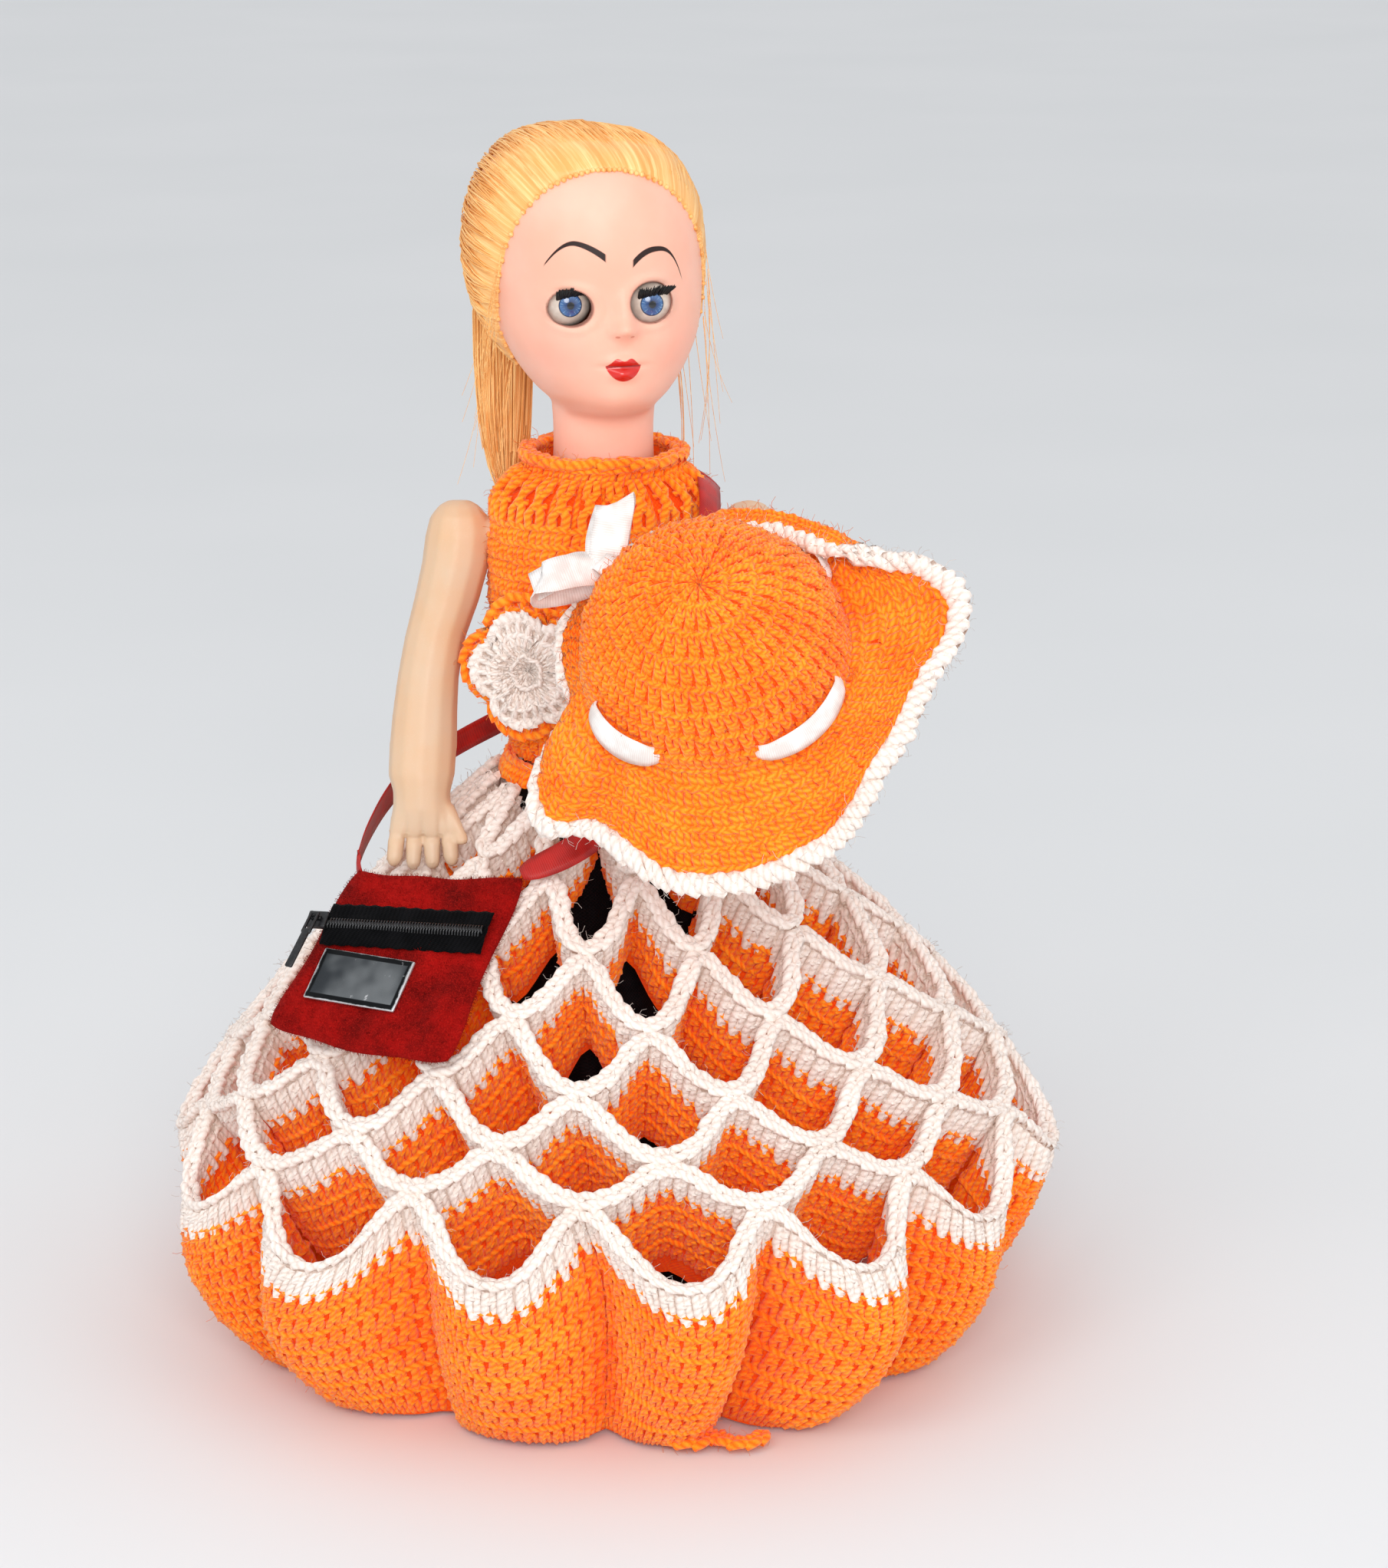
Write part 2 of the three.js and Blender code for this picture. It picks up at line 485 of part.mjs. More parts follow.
function headShell() {
  const within = headRows.filter(([z]) => z > CHIN_RISE - 2 && z < CROWN_RISE - HEAD_WALL);
  const hollow = skin(everyOther(within).map((row) => headRing(row, -HEAD_WALL, HOLLOW_SIDES)));
  const nose = ball(onHead(0, 1 - FACE_DEPTH, CHIN_RISE + 29.5), 3.8, 4.6, 5, 8);
  const upperLip = ball(onHead(0, 2.2 - FACE_DEPTH, CHIN_RISE + 17.3), 6.4, 3, 2.2, 8);
  const lowerLip = ball(onHead(0, 2.6 - FACE_DEPTH, CHIN_RISE + 14), 5, 3.2, 2.4, 8);
  const face = join(headSkin(0), nose, upperLip, lowerLip, ear(-1, 0), ear(1, 0));
  const bore = rod(vec(0, 0, -1), vec(0, 0, CHIN_RISE + 3), NECK_BORE, 16);
  const sockets = [-1, 1].map((side) => {
    const boss = ball(eyeCentre(side), SOCKET + 2, SOCKET + 2, SOCKET + 2, 12);
    const [x, y] = eyeCentre(side);
    const low = [x - SOCKET_REACH, y - 2, EYE_RISE - SOCKET_REACH];
    const high = [x + SOCKET_REACH, y + 3, EYE_RISE + SOCKET_REACH];
    return common(boss, box(low, high));
  });
  const holes = [-1, 1].flatMap((side) => {
    const centre = vec(...eyeCentre(side));
    const reach = vec(SOCKET + 1.2, 0, 0);
    const axle = rod(centre.clone().sub(reach), centre.clone().add(reach), EYE_AXLE_RADIUS + 0.2, 8);
    const globe = ball(eyeCentre(side), SOCKET, SOCKET, SOCKET, 16);
    return [globe, ball(eyeCentre(side), ...EYE_OPENING, 16), axle];
  });
  return cut(join(cut(face, hollow, bore), ...sockets), ...holes);
}
add(head, "head_shell", headShell(), FACE_COLOUR, 0.5);

// Sleeping eyes: each turns on its axle, and a weight behind and below it closes it when the doll lies down
function eye(name, side) {
  const place = group(head, eyeCentre(side));
  const axleHalf = SOCKET + 0.8;
  const axle = (radius) => rod(vec(-axleHalf, 0, 0), vec(axleHalf, 0, 0), radius, 8);
  const irisSeat = EYE_RADIUS - 2.4;
  const recess = rod(vec(0, -irisSeat, 0), vec(0, -EYE_RADIUS - 1, 0), IRIS_RADIUS + SEAT, 16);
  const lashAngle = rad(36);
  const lashBase = EYE_RADIUS - 0.8;
  const lashStrip = (radius, reach, half) => {
    const ringOf = (across) => {
      const bend = Math.sqrt(Math.max(1, radius ** 2 - across ** 2));
      const tip = bend + reach;
      const at = (r, lift) => vec(across, -r * Math.cos(lashAngle), r * Math.sin(lashAngle) + lift);
      return [at(bend, -half), at(tip, -half), at(tip, half), at(bend, half)];
    };
    return skin([-3.6, -1.8, 0, 1.8, 3.6].map(ringOf));
  };
  const slot = lashStrip(lashBase - SEAT, LASH_LENGTH, 0.3 + SEAT);
  const globe = ball([0, 0, 0], EYE_RADIUS, EYE_RADIUS, EYE_RADIUS, 14);
  const stem = vec(0, 0.72 * EYE_RADIUS, -0.45 * EYE_RADIUS);
  const weightAt = vec(0, 0.85 * EYE_WEIGHT_REACH, -0.52 * EYE_WEIGHT_REACH);
  const bulb = ball(weightAt.toArray(), EYE_WEIGHT_RADIUS, EYE_WEIGHT_RADIUS, EYE_WEIGHT_RADIUS, 10);
  const stemHole = rod(stem, weightAt, 1.1 + SEAT, 8);
  const axleHole = axle(EYE_AXLE_RADIUS + 0.2);
  add(place, name + "_eyeball", cut(globe, recess, axleHole, slot, stemHole), 0xf6f4ef, 0.25);
  const globeY = (radius) => -Math.sqrt(EYE_RADIUS ** 2 - radius ** 2);
  const dome = [
    [-irisSeat - SEAT, IRIS_RADIUS],
    [globeY(IRIS_RADIUS), IRIS_RADIUS],
    [globeY(IRIS_RADIUS / 2), IRIS_RADIUS / 2],
  ];
  const irisRing = ([y, size]) => oval(0, 0, 0, size, size, size, 16).map((p) => vec(p.x, y, p.y));
  add(place, name + "_iris", skin(dome.map(irisRing)), 0x4a86c8, 0.15);
  add(place, name + "_eyelash", lashStrip(lashBase, LASH_LENGTH, 0.3), BLACK, 0.7);
  add(place, name + "_eye_axle", axle(EYE_AXLE_RADIUS), STEEL, 0.3, 1);
  const stemStart = stem.clone().multiplyScalar(1 + SEAT / EYE_RADIUS);
  add(place, name + "_eye_weight", join(rod(stemStart, weightAt, 1.1, 8), bulb), STEEL, 0.4, 1);
}
eye("right", -1);
eye("left", 1);

// Hair: a cap over the skull behind the hairline, a tie and a ponytail
function hairCap() {
  const lean = rad(HAIRLINE_SLOPE);
  const far = 200;
  const behind = box([-far, 0, -far], [far, far, far]).rotateX(lean);
  behind.translate(0, HAIRLINE_Y, HAIRLINE_TOP_RISE);
  const above = box([-far, -far, NAPE_RISE], [far, far, far]);
  const cap = common(common(headSkin(HAIR_THICKNESS), behind), above);
  return cut(cap, headSkin(SEAT), ear(-1, SEAT), ear(1, SEAT));
}
add(head, "hair_cap", hairCap(), HAIR_COLOUR, 0.45);

const TIE_TUBE = 1.6;
const tail = group(head, [leanAt(TIE_RISE), 0, 0]);
tail.rotation.z = rad(PONYTAIL_TURNED);
const tieSeat = SKULL_DEPTH + HAIR_THICKNESS - 0.6;
const tie = new THREE.TorusGeometry(TIE_RADIUS, TIE_TUBE, 6, 16).rotateX(Math.PI / 2);
add(tail, "hair_tie", tie.translate(0, tieSeat + TIE_TUBE, TIE_RISE), 0x6b4a22, 0.8);

// Rows of sideways share, distance behind the tie's seat, height from the tie and radius
function ponytail() {
  const keys = [
    [0, 0, 0, 4.6],
    [0, 6, -1, 5],
    [0.2, 14, -9, 8.5],
    [0.6, 16, -0.3 * PONYTAIL_LENGTH, PONYTAIL_RADIUS],
    [0.9, 12, -0.66 * PONYTAIL_LENGTH, PONYTAIL_RADIUS - 1],
    [1, 9, -0.9 * PONYTAIL_LENGTH, PONYTAIL_RADIUS - 4],
    [1, 8, -PONYTAIL_LENGTH, 2.5],
  ];
  const rows = smooth(keys, 13);
  const centres = rows.map(([side, y, z]) => vec(side * PONYTAIL_SIDE, tieSeat + y, TIE_RISE + z));
  const rings = centres.map((centre, i) => {
    const ahead = centres[Math.min(i + 1, centres.length - 1)].clone();
    const along = ahead.sub(centres[Math.max(i - 1, 0)]).normalize();
    const turn = new THREE.Quaternion().setFromUnitVectors(vec(0, 0, -1), along);
    const size = rows[i][3];
    return oval(0, 0, 0, size, size, size, 12).map((p) => p.applyQuaternion(turn).add(centre));
  });
  const skull = headSkin(HAIR_THICKNESS + SEAT).translate(-leanAt(TIE_RISE), 0, 0);
  return cut(skin(rings), skull.rotateZ(-rad(PONYTAIL_TURNED)));
}
add(tail, "ponytail", ponytail(), HAIR_COLOUR, 0.45);

// Bodice: a shell over the trunk from the waistband to the collar, with a hole for each arm's plug
function bodice() {
  const bottom = WAIST_Z + SEAT;
  const rows = trunkRows.filter(([z]) => z > bottom + 1);
  const [, waistWide, waistDeep] = trunkRows.find(([z]) => z > bottom + 1);
  const collar = [NECK_Z + COLLAR_RISE, NECK_RADIUS + 1, NECK_RADIUS + 1];
  const all = [[bottom, waistWide, waistDeep], ...rows, collar];
  const thickness = (row) => (row === collar ? COLLAR_THICKNESS : BODICE_THICKNESS);
  const outer = all.map((row) => trunkRing(row, SEAT + thickness(row)));
  const inner = all.map((row) => trunkRing(row, SEAT)).reverse();
  const sections = steps(TRUNK_SIDES).map((i) => [...outer, ...inner].map((ring) => ring[i]));
  const plugHole = ARM_PLUG_RADIUS + 2 * RUN;
  const armHole = rod(vec(-ARM_X, 0, ARM_PIVOT_Z), vec(ARM_X, 0, ARM_PIVOT_Z), plugHole, 16);
  return cut(hoop(sections), armHole);
}
add(doll, "bodice", bodice(), ORANGE, 0.9);

// Skirt: its outline, and the heights of the rows of seams as shares of the way up
const TOP_SEAM_SHARE = 0.96;
const LOW_SEAM_SHARE = 0.168;
const SEAM_SPREAD = 1.15;
const outline = (share) => {
  const radius = mix(SKIRT_RIM_RADIUS, SKIRT_TOP_RADIUS, share ** SKIRT_BELL);
  return new THREE.Vector2(radius, SKIRT_RIM_Z + SKIRT_RISE * share);
};
const seamShare = (row) => mix(LOW_SEAM_SHARE, TOP_SEAM_SHARE, (row / SKIRT_BANDS) ** SEAM_SPREAD);
const shareOf = (length, share) => (0.01 * length) / outline(share + 0.01).distanceTo(outline(share));
const HALF_STRIP = (STRIP_THICKNESS + SEAT) / 2;
const WAVE_STEPS = 6;
const WAVE_CORNER = 0.94; // 1 would be a sharp zigzag
const zigzag = (angle) => Math.asin(WAVE_CORNER * Math.cos(angle)) / Math.asin(WAVE_CORNER);
const SKIRT_STEPS = SKIRT_CELLS * WAVE_STEPS;
const azimuths = steps(SKIRT_STEPS).map((i) => (2 * Math.PI * i) / SKIRT_STEPS);
const around = (radius, z, azimuth) => {
  const angle = azimuth + rad(SKIRT_TURN);
  return vec(radius * Math.sin(angle), -radius * Math.cos(angle), z);
};

// A strip with thickness, from the rows of its points at each step round: rim first, free edge last
function strip(rowAt) {
  const rows = azimuths.map(rowAt);
  const count = rows.length;
  const sections = rows.map((row, i) => {
    const before = rows[(i + count - 1) % count];
    const after = rows[(i + 1) % count];
    const offsets = row.map((point, k) => {
      const tangent = vec().subVectors(after[k], before[k]);
      const across = vec().subVectors(row[Math.min(k + 1, row.length - 1)], row[Math.max(k - 1, 0)]);
      const normal = vec().crossVectors(tangent, across);
      if (point.z === 0) normal.setZ(0);
      return normal.setLength(STRIP_THICKNESS / 2);
    });
    const near = row.map((point, k) => point.clone().add(offsets[k]));
    const far = row.map((point, k) => point.clone().sub(offsets[k]));
    return [...near, ...far.reverse()];
  });
  return hoop(sections);
}

function skirtBand(number) {
  const low = seamShare(number - 1);
  const high = seamShare(number);
  const lowest = low + shareOf(HALF_STRIP, low);
  const highest = high - shareOf(HALF_STRIP, high);
  const way = (number - 1) / (SKIRT_BANDS - 1);
  const dip = rad(mix(STRIP_DIP_LOW, STRIP_DIP_HIGH, way));
  const depth = mix(STRIP_DEPTH_LOW, STRIP_DEPTH_HIGH, way ** 1.8);
  return strip((azimuth) => {
    const wave = zigzag(SKIRT_CELLS * azimuth - Math.PI * number);
    const rim = outline(mix(lowest, highest, (1 + wave) / 2));
    const inner = [rim.x - depth * Math.cos(dip), rim.y - depth * Math.sin(dip)];
    return [around(rim.x, rim.y, azimuth), around(...inner, azimuth)];
  });
}

function cupBand() {
  const high = seamShare(0);
  const highest = high - shareOf(HALF_STRIP, high);
  return strip((azimuth) => {
    const wave = zigzag(SKIRT_CELLS * azimuth);
    const rim = outline((highest * (1 + wave)) / 2);
    const rimRadius = rim.x + (CUP_BULGE * (1 - wave)) / 2;
    const floorRadius = CUP_FLOOR_RADIUS - CUP_FLOOR_WAVE * wave;
    const middleRadius = mix(floorRadius, rimRadius, 0.45) + 4 - 4 * wave;
    return [
      around(rimRadius, rim.y, azimuth),
      around(middleRadius, 0.4 * rim.y, azimuth),
      around(floorRadius, 0, azimuth),
    ];
  });
}

for (const i of steps(SKIRT_BANDS)) {
  add(doll, "skirt_band_" + (i + 1), skirtBand(i + 1), ORANGE, 0.9);
}
add(doll, "skirt_cup_band", cupBand(), ORANGE, 0.9);

// Waistband and underskirt: rings whose sections are pairs of radius and height
const TURNED_SIDES = 28;
function turned(profile) {
  const section = (i) =>
    profile.map(([radius, z]) => around(radius, z, (2 * Math.PI * i) / TURNED_SIDES));
  return hoop(steps(TURNED_SIDES).map(section));
}
const topSeam = outline(TOP_SEAM_SHARE);
const bandBottom = topSeam.y + SEAT;
const bandInner = WAIST_HALF_WIDTH + WAIST_EASE;
const bandProfile = [
  [bandInner, bandBottom],
  [topSeam.x + 1, bandBottom],
  [bandInner + WAISTBAND_WIDTH, WAIST_Z],
  [bandInner, WAIST_Z],
];
add(doll, "waistband", turned(bandProfile), ORANGE, 0.9);

const liningTop = bandBottom - SEAT;
const liningOuter = [
  [bandInner + UNDERSKIRT_WALL, liningTop],
  [HIP_HALF_WIDTH + UNDERSKIRT_WALL + 1.4, LEG_PIVOT_Z + 0.5 * WAIST_RISE],
  [HIP_HALF_WIDTH + 4, LEG_PIVOT_Z - 6],
  [mix(HIP_HALF_WIDTH, UNDERSKIRT_HEM_RADIUS, 0.5), 0.62 * LEG_PIVOT_Z],
  [UNDERSKIRT_HEM_RADIUS, UNDERSKIRT_HEM_Z],
];
const liningInner = liningOuter.map(([radius, z]) => [radius - UNDERSKIRT_WALL, z]).reverse();
add(doll, "underskirt", turned([...liningOuter, ...liningInner]), BLACK, 0.95);

// Flower: two lobed layers sewn to the waist
function flowerLayer(radius, from, depth) {
  const points = steps(6 * FLOWER_PETALS).map((i) => {
    const angle = (2 * Math.PI * i) / (6 * FLOWER_PETALS);
    const reach = radius * (0.9 + 0.1 * Math.cos(FLOWER_PETALS * angle));
    return new THREE.Vector2(reach * Math.cos(angle), reach * Math.sin(angle));
  });
  const shape = new THREE.Shape(points);
  const geometry = new THREE.ExtrudeGeometry(shape, { depth, bevelEnabled: false });
  return geometry.translate(0, 0, from).rotateX(Math.PI / 2);
}
const flower = group(doll, [FLOWER_CENTRE[0], FLOWER_CENTRE[1], WAIST_Z + FLOWER_CENTRE[2]]);
flower.rotation.z = rad(FLOWER_TURN);
add(flower, "flower_orange", flowerLayer(FLOWER_RADIUS, -FLOWER_LAYER, FLOWER_LAYER), ORANGE, 0.9);
add(flower, "flower_white", flowerLayer(FLOWER_SMALL_RADIUS, SEAT, 1.4 * FLOWER_LAYER), WHITE_YARN, 0.9);

// Hat: rings from the apex down the crown and out to the brim's edge
const hatAxis = vec(...HAT_AXIS).normalize();
const hat = group(doll, [HAT_APEX[0], HAT_APEX[1], ARM_PIVOT_Z + HAT_APEX[2]]);
hat.quaternion.setFromUnitVectors(vec(0, 0, 1), hatAxis);
const HAT_SIDES = 48;
const wholeTurn = ([angle, ...rest], turns) => [angle + 360 * turns, ...rest];
const BRIM_STEPS = 120;
const nextTurn = BRIM.slice(0, 2).map((key) => wholeTurn(key, 1));
const brimRows = smooth([wholeTurn(BRIM.at(-1), -1), ...BRIM, ...nextTurn], BRIM_STEPS);
const brimAt = (angle) => {
  const degrees = THREE.MathUtils.radToDeg(angle);
  const next = brimRows.findIndex((row) => row[0] > degrees);
  const [start, ...from] = brimRows[next - 1];
  const [end, ...to] = brimRows[next];
  return from.map((value, i) => mix(value, to[i], (degrees - start) / (end - start)));
};
const hatPoint = (radius, height, angle) => vec(radius * Math.cos(angle), radius * Math.sin(angle), height);
// A point of the brim, where out runs from 0 at the crown's foot to 1 at the edge
const brimPoint = (out, angle) => {
  const [reach, lift, swellReach, swellLift] = brimAt(angle);
  const swell = 2 * out * (1 - out);
  const radius = HAT_CROWN_RADIUS + swell * swellReach + out * out * reach;
  return hatPoint(radius, swell * swellLift + out * out * lift - HAT_CROWN_HEIGHT, angle);
};
const hatAngles = (count) => steps(count).map((i) => (2 * Math.PI * i) / count);
const crownRows = smooth(
  [
    [0.16 * HAT_CROWN_RADIUS, 0.4],
    [0.5 * HAT_CROWN_RADIUS, 0.13 * HAT_CROWN_HEIGHT],
    [0.8 * HAT_CROWN_RADIUS, 0.4 * HAT_CROWN_HEIGHT],
    [0.95 * HAT_CROWN_RADIUS, 0.72 * HAT_CROWN_HEIGHT],
    [HAT_CROWN_RADIUS, HAT_CROWN_HEIGHT],
  ],
  6,
);
const hatRings = [
  ...crownRows.map(([radius, drop]) => hatAngles(HAT_SIDES).map((angle) => hatPoint(radius, -drop, angle))),
  ...[0.25, 0.5, 0.75, 1].map((out) => hatAngles(HAT_SIDES).map((angle) => brimPoint(out, angle))),
];
const lining = hatRings.map((ring, r) =>
  ring.map((point, i) => {
    const above = hatRings[Math.max(r - 1, 0)][i];
    const below = hatRings[Math.min(r + 1, hatRings.length - 1)][i];
    const before = ring.at(i - 1);
    const after = ring[(i + 1) % HAT_SIDES];
    const inward = vec().crossVectors(vec().subVectors(after, before), vec().subVectors(below, above));
    return point.clone().addScaledVector(inward.normalize(), HAT_THICKNESS);
  }),
);
add(hat, "hat", skin([...hatRings, ...lining.reverse()]), ORANGE, 0.9);

// The white cord follows the brim's edge
function hatCord() {
  const small = 0.01;
  return hoop(
    hatAngles(HAT_SIDES).map((angle) => {
      const edge = brimPoint(1, angle);
      const ahead = brimPoint(1, (angle + small) % (2 * Math.PI));
      const along = vec().subVectors(ahead, edge);
      const up = vec().crossVectors(vec().subVectors(edge, brimPoint(1 - small, angle)), along).normalize();
      const outward = vec().crossVectors(along, up).normalize();
      const centre = edge.addScaledVector(outward, HAT_CORD_RADIUS + 2 * SEAT);
      centre.addScaledVector(up, -0.5 * HAT_THICKNESS);
      return steps(6).map((k) => {
        const turn = (Math.PI * k) / 3;
        const aside = up.clone().multiplyScalar(HAT_CORD_RADIUS * Math.sin(turn));
        return aside.addScaledVector(outward, HAT_CORD_RADIUS * Math.cos(turn)).add(centre);
      });
    }),
  );
}
add(hat, "hat_edging", hatCord(), WHITE_YARN, 0.9);

// The ribbon lies round the foot of the crown, and the bow on the side towards the doll's face
const ribbonDrop = HAT_CROWN_HEIGHT - RIBBON_WIDTH - 4;
const RIBBON_SIDES = 28;
function hatRibbon() {
  const inner = HAT_CROWN_RADIUS + SEAT;
  const section = [
    [inner, ribbonDrop],
    [inner + RIBBON_THICKNESS, ribbonDrop],
    [inner + RIBBON_THICKNESS, ribbonDrop + RIBBON_WIDTH],
    [inner, ribbonDrop + RIBBON_WIDTH],
  ];
  return hoop(
    hatAngles(RIBBON_SIDES).map((angle) => section.map(([radius, drop]) => hatPoint(radius, -drop, angle))),
  );
}
add(hat, "hat_ribbon", hatRibbon(), 0xf4f4f2, 0.35);

const BOW_WAY = [-0.75, 0.3, 0.59]; // from the crown's middle towards the bow
function hatBow() {
  const way = vec(...BOW_WAY).applyQuaternion(hat.quaternion.clone().invert()).setZ(0).normalize();
  const side = vec(-way.y, way.x, 0);
  const root = HAT_CROWN_RADIUS + SEAT + RIBBON_THICKNESS + SEAT + 3;
  const middle = -ribbonDrop - 0.5 * RIBBON_WIDTH;
  const at = (out, across, up) =>
    way.clone().multiplyScalar(root + out).addScaledVector(side, across).setZ(middle + up);
  const knot = ball(at(0, 0, 0).toArray(), 3, 3, 3, 8);
  const loops = [-1, 1].map((s) => lobe(at(0.5, s, 0.5), at(7, 12 * s, 4), 2, 3.6, 6));
  const tails = [-1, 1].map((s) => lobe(at(1, s, 0), at(13, 5 * s, 1), 1.6, 1.4, 6));
  return join(knot, ...loops, ...tails);
}
add(hat, "hat_bow", hatBow(), 0xf4f4f2, 0.35);

// Bag: its own frame has X along the top, Z up the pouch and -Y out of its front
const bagTurn = group(doll, [BAG_TOP[0], BAG_TOP[1], LEG_PIVOT_Z + BAG_TOP[2]]);
bagTurn.rotation.z = rad(BAG_TURNED);
const bag = group(bagTurn);
bag.rotation.x = -rad(BAG_LEAN);

// A plate of the outline given in X and Z, whose front lies at -front
function plate(points, front, thickness) {
  const shape = new THREE.Shape(points.map(([x, z]) => new THREE.Vector2(x, z)));
  const geometry = new THREE.ExtrudeGeometry(shape, { depth: thickness, bevelEnabled: false });
  return geometry.translate(0, 0, front - thickness).rotateX(Math.PI / 2);
}
// A rectangle about a centre, leaning with the bag's top edge
const slant = Math.atan2(2 * BAG_SLANT, BAG_TOP_WIDTH);
const rectangle = ([x, z], wide, high, lean = slant) =>
  [[-1, -1], [1, -1], [1, 1], [-1, 1]].map(([a, b]) => {
    const across = (a * wide) / 2;
    const up = (b * high) / 2;
    const along = x + across * Math.cos(lean) - up * Math.sin(lean);
    return [along, z + across * Math.sin(lean) + up * Math.cos(lean)];
  });
const bagFront = BAG_THICKNESS / 2;
const bagOutline = (inset) => [
  [inset - BAG_BOTTOM_WIDTH / 2, inset - BAG_HEIGHT],
  [BAG_BOTTOM_WIDTH / 2 - inset, inset - BAG_HEIGHT],
  [BAG_TOP_WIDTH / 2 - inset, BAG_SLANT - inset],
  [inset - BAG_TOP_WIDTH / 2, -BAG_SLANT - inset],
];
const bagRing = (inset, y) => bagOutline(inset).map(([x, z]) => vec(x, y, z));
const pouch = skin([bagRing(3, bagFront), bagRing(0, 0.5), bagRing(0, -0.5), bagRing(3, -bagFront)]);
add(bag, "bag_body", pouch, RED_VELVET, 0.95);

const zipCentre = [0.5, -ZIP_DROP];
const tapeFront = bagFront + SEAT + ZIP_TAPE_THICKNESS;
const coilFront = tapeFront + SEAT + ZIP_COIL_THICKNESS;
const tapeOutline = rectangle(zipCentre, ZIP_LENGTH, ZIP_TAPE_WIDTH);
add(bag, "zip_tape", plate(tapeOutline, tapeFront, ZIP_TAPE_THICKNESS), BLACK, 0.9);
const coilOutline = rectangle(zipCentre, ZIP_LENGTH - 2, ZIP_COIL_WIDTH);
add(bag, "zip_coil", plate(coilOutline, coilFront, ZIP_COIL_THICKNESS), BLACK, 0.5);
const badgeFront = bagFront + SEAT + BADGE_THICKNESS;
const badgeOutline = rectangle(BADGE_CENTRE, BADGE_WIDTH, BADGE_HEIGHT, rad(BADGE_LEAN));
add(bag, "badge_plate", plate(badgeOutline, badgeFront, BADGE_THICKNESS), STEEL, 0.3, 1);

// The slider stands at the coil's outer end, and its pull hangs beside the pouch
const sliderWay = ZIP_LENGTH / 2 + 2;
const sliderCentre = [
  zipCentre[0] - sliderWay * Math.cos(slant),
  zipCentre[1] - sliderWay * Math.sin(slant),
];
const sliderFront = coilFront + RUN + SLIDER_THICKNESS;
const sliderOutline = rectangle(sliderCentre, SLIDER_LENGTH, SLIDER_WIDTH);
add(bag, "zip_slider", plate(sliderOutline, sliderFront, SLIDER_THICKNESS), BLACK, 0.35, 0.6);
const pullFront = sliderFront + SEAT + PULL_THICKNESS;
const pullCentre = [sliderCentre[0], sliderCentre[1] - PULL_LENGTH / 2 + 1.5];
const pullOutline = rectangle(pullCentre, PULL_WIDTH, PULL_LENGTH, 0);
add(bag, "zip_pull", plate(pullOutline, pullFront, PULL_THICKNESS), BLACK, 0.4, 0.4);

// Strap: a ribbon along points chosen by hand, its flat side turned away from the trunk
function ribbon(points) {
  const curve = new THREE.CatmullRomCurve3(points.map((p) => vec(...p)));
  const count = 3 * points.length;
  const rings = steps(count + 1).map((i) => {
    const centre = curve.getPoint(i / count);
    const along = curve.getTangent(i / count);
    const outward = vec(centre.x, centre.y, Math.max(0, centre.z - ARM_PIVOT_Z) * 2.5);
    const across = vec().crossVectors(along, outward).setLength(STRAP_WIDTH / 2);
    const lift = vec().crossVectors(across, along).setLength(STRAP_THICKNESS / 2);
    return [[1, 1], [-1, 1], [-1, -1], [1, -1]].map(([a, b]) =>
      centre.clone().addScaledVector(across, a).addScaledVector(lift, b),
    );
  });
  return skin(rings);
}
const frontRoute = [
  [31.5, 0.2, NECK_Z - 7], [31.5, -9, NECK_Z - 8.4], [30.5, -19.5, NECK_Z - 15],
  [27.5, -25.5, NECK_Z - 28], [24, -29.5, NECK_Z - 46], [20, -31, NECK_Z - 66],
  [14, -35, NECK_Z - 84], [8, -44, NECK_Z - 97], [0, -54, NECK_Z - 108],
  [-11, -61, NECK_Z - 116], [-24.3, -64.1, NECK_Z - 121.9],
];
const backRoute = [
  [31.5, 1.8, NECK_Z - 7], [31.5, 10, NECK_Z - 9.4], [29.5, 18.5, NECK_Z - 17],
  [24.5, 25.5, NECK_Z - 32], [14, 30, NECK_Z - 51], [-5, 31, NECK_Z - 72],
  [-28, 32, NECK_Z - 90], [-50, 26, NECK_Z - 101], [-66, 13, NECK_Z - 108],
  [-74, -2, NECK_Z - 114], [-79.5, -20, NECK_Z - 121], [-82.2, -36.5, NECK_Z - 127.8],
];
add(doll, "bag_strap_front", ribbon(frontRoute), 0xb01c18, 0.35);
add(doll, "bag_strap_back", ribbon(backRoute), 0xb01c18, 0.35);

export default doll;
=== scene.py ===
"""A dressed doll in a crocheted honeycomb skirt, with a crocheted hat on the arm and a velvet bag."""
import math
import random

import bmesh
import bpy
import numpy as np
from mathutils import Matrix, Vector
from mathutils.bvhtree import BVHTree


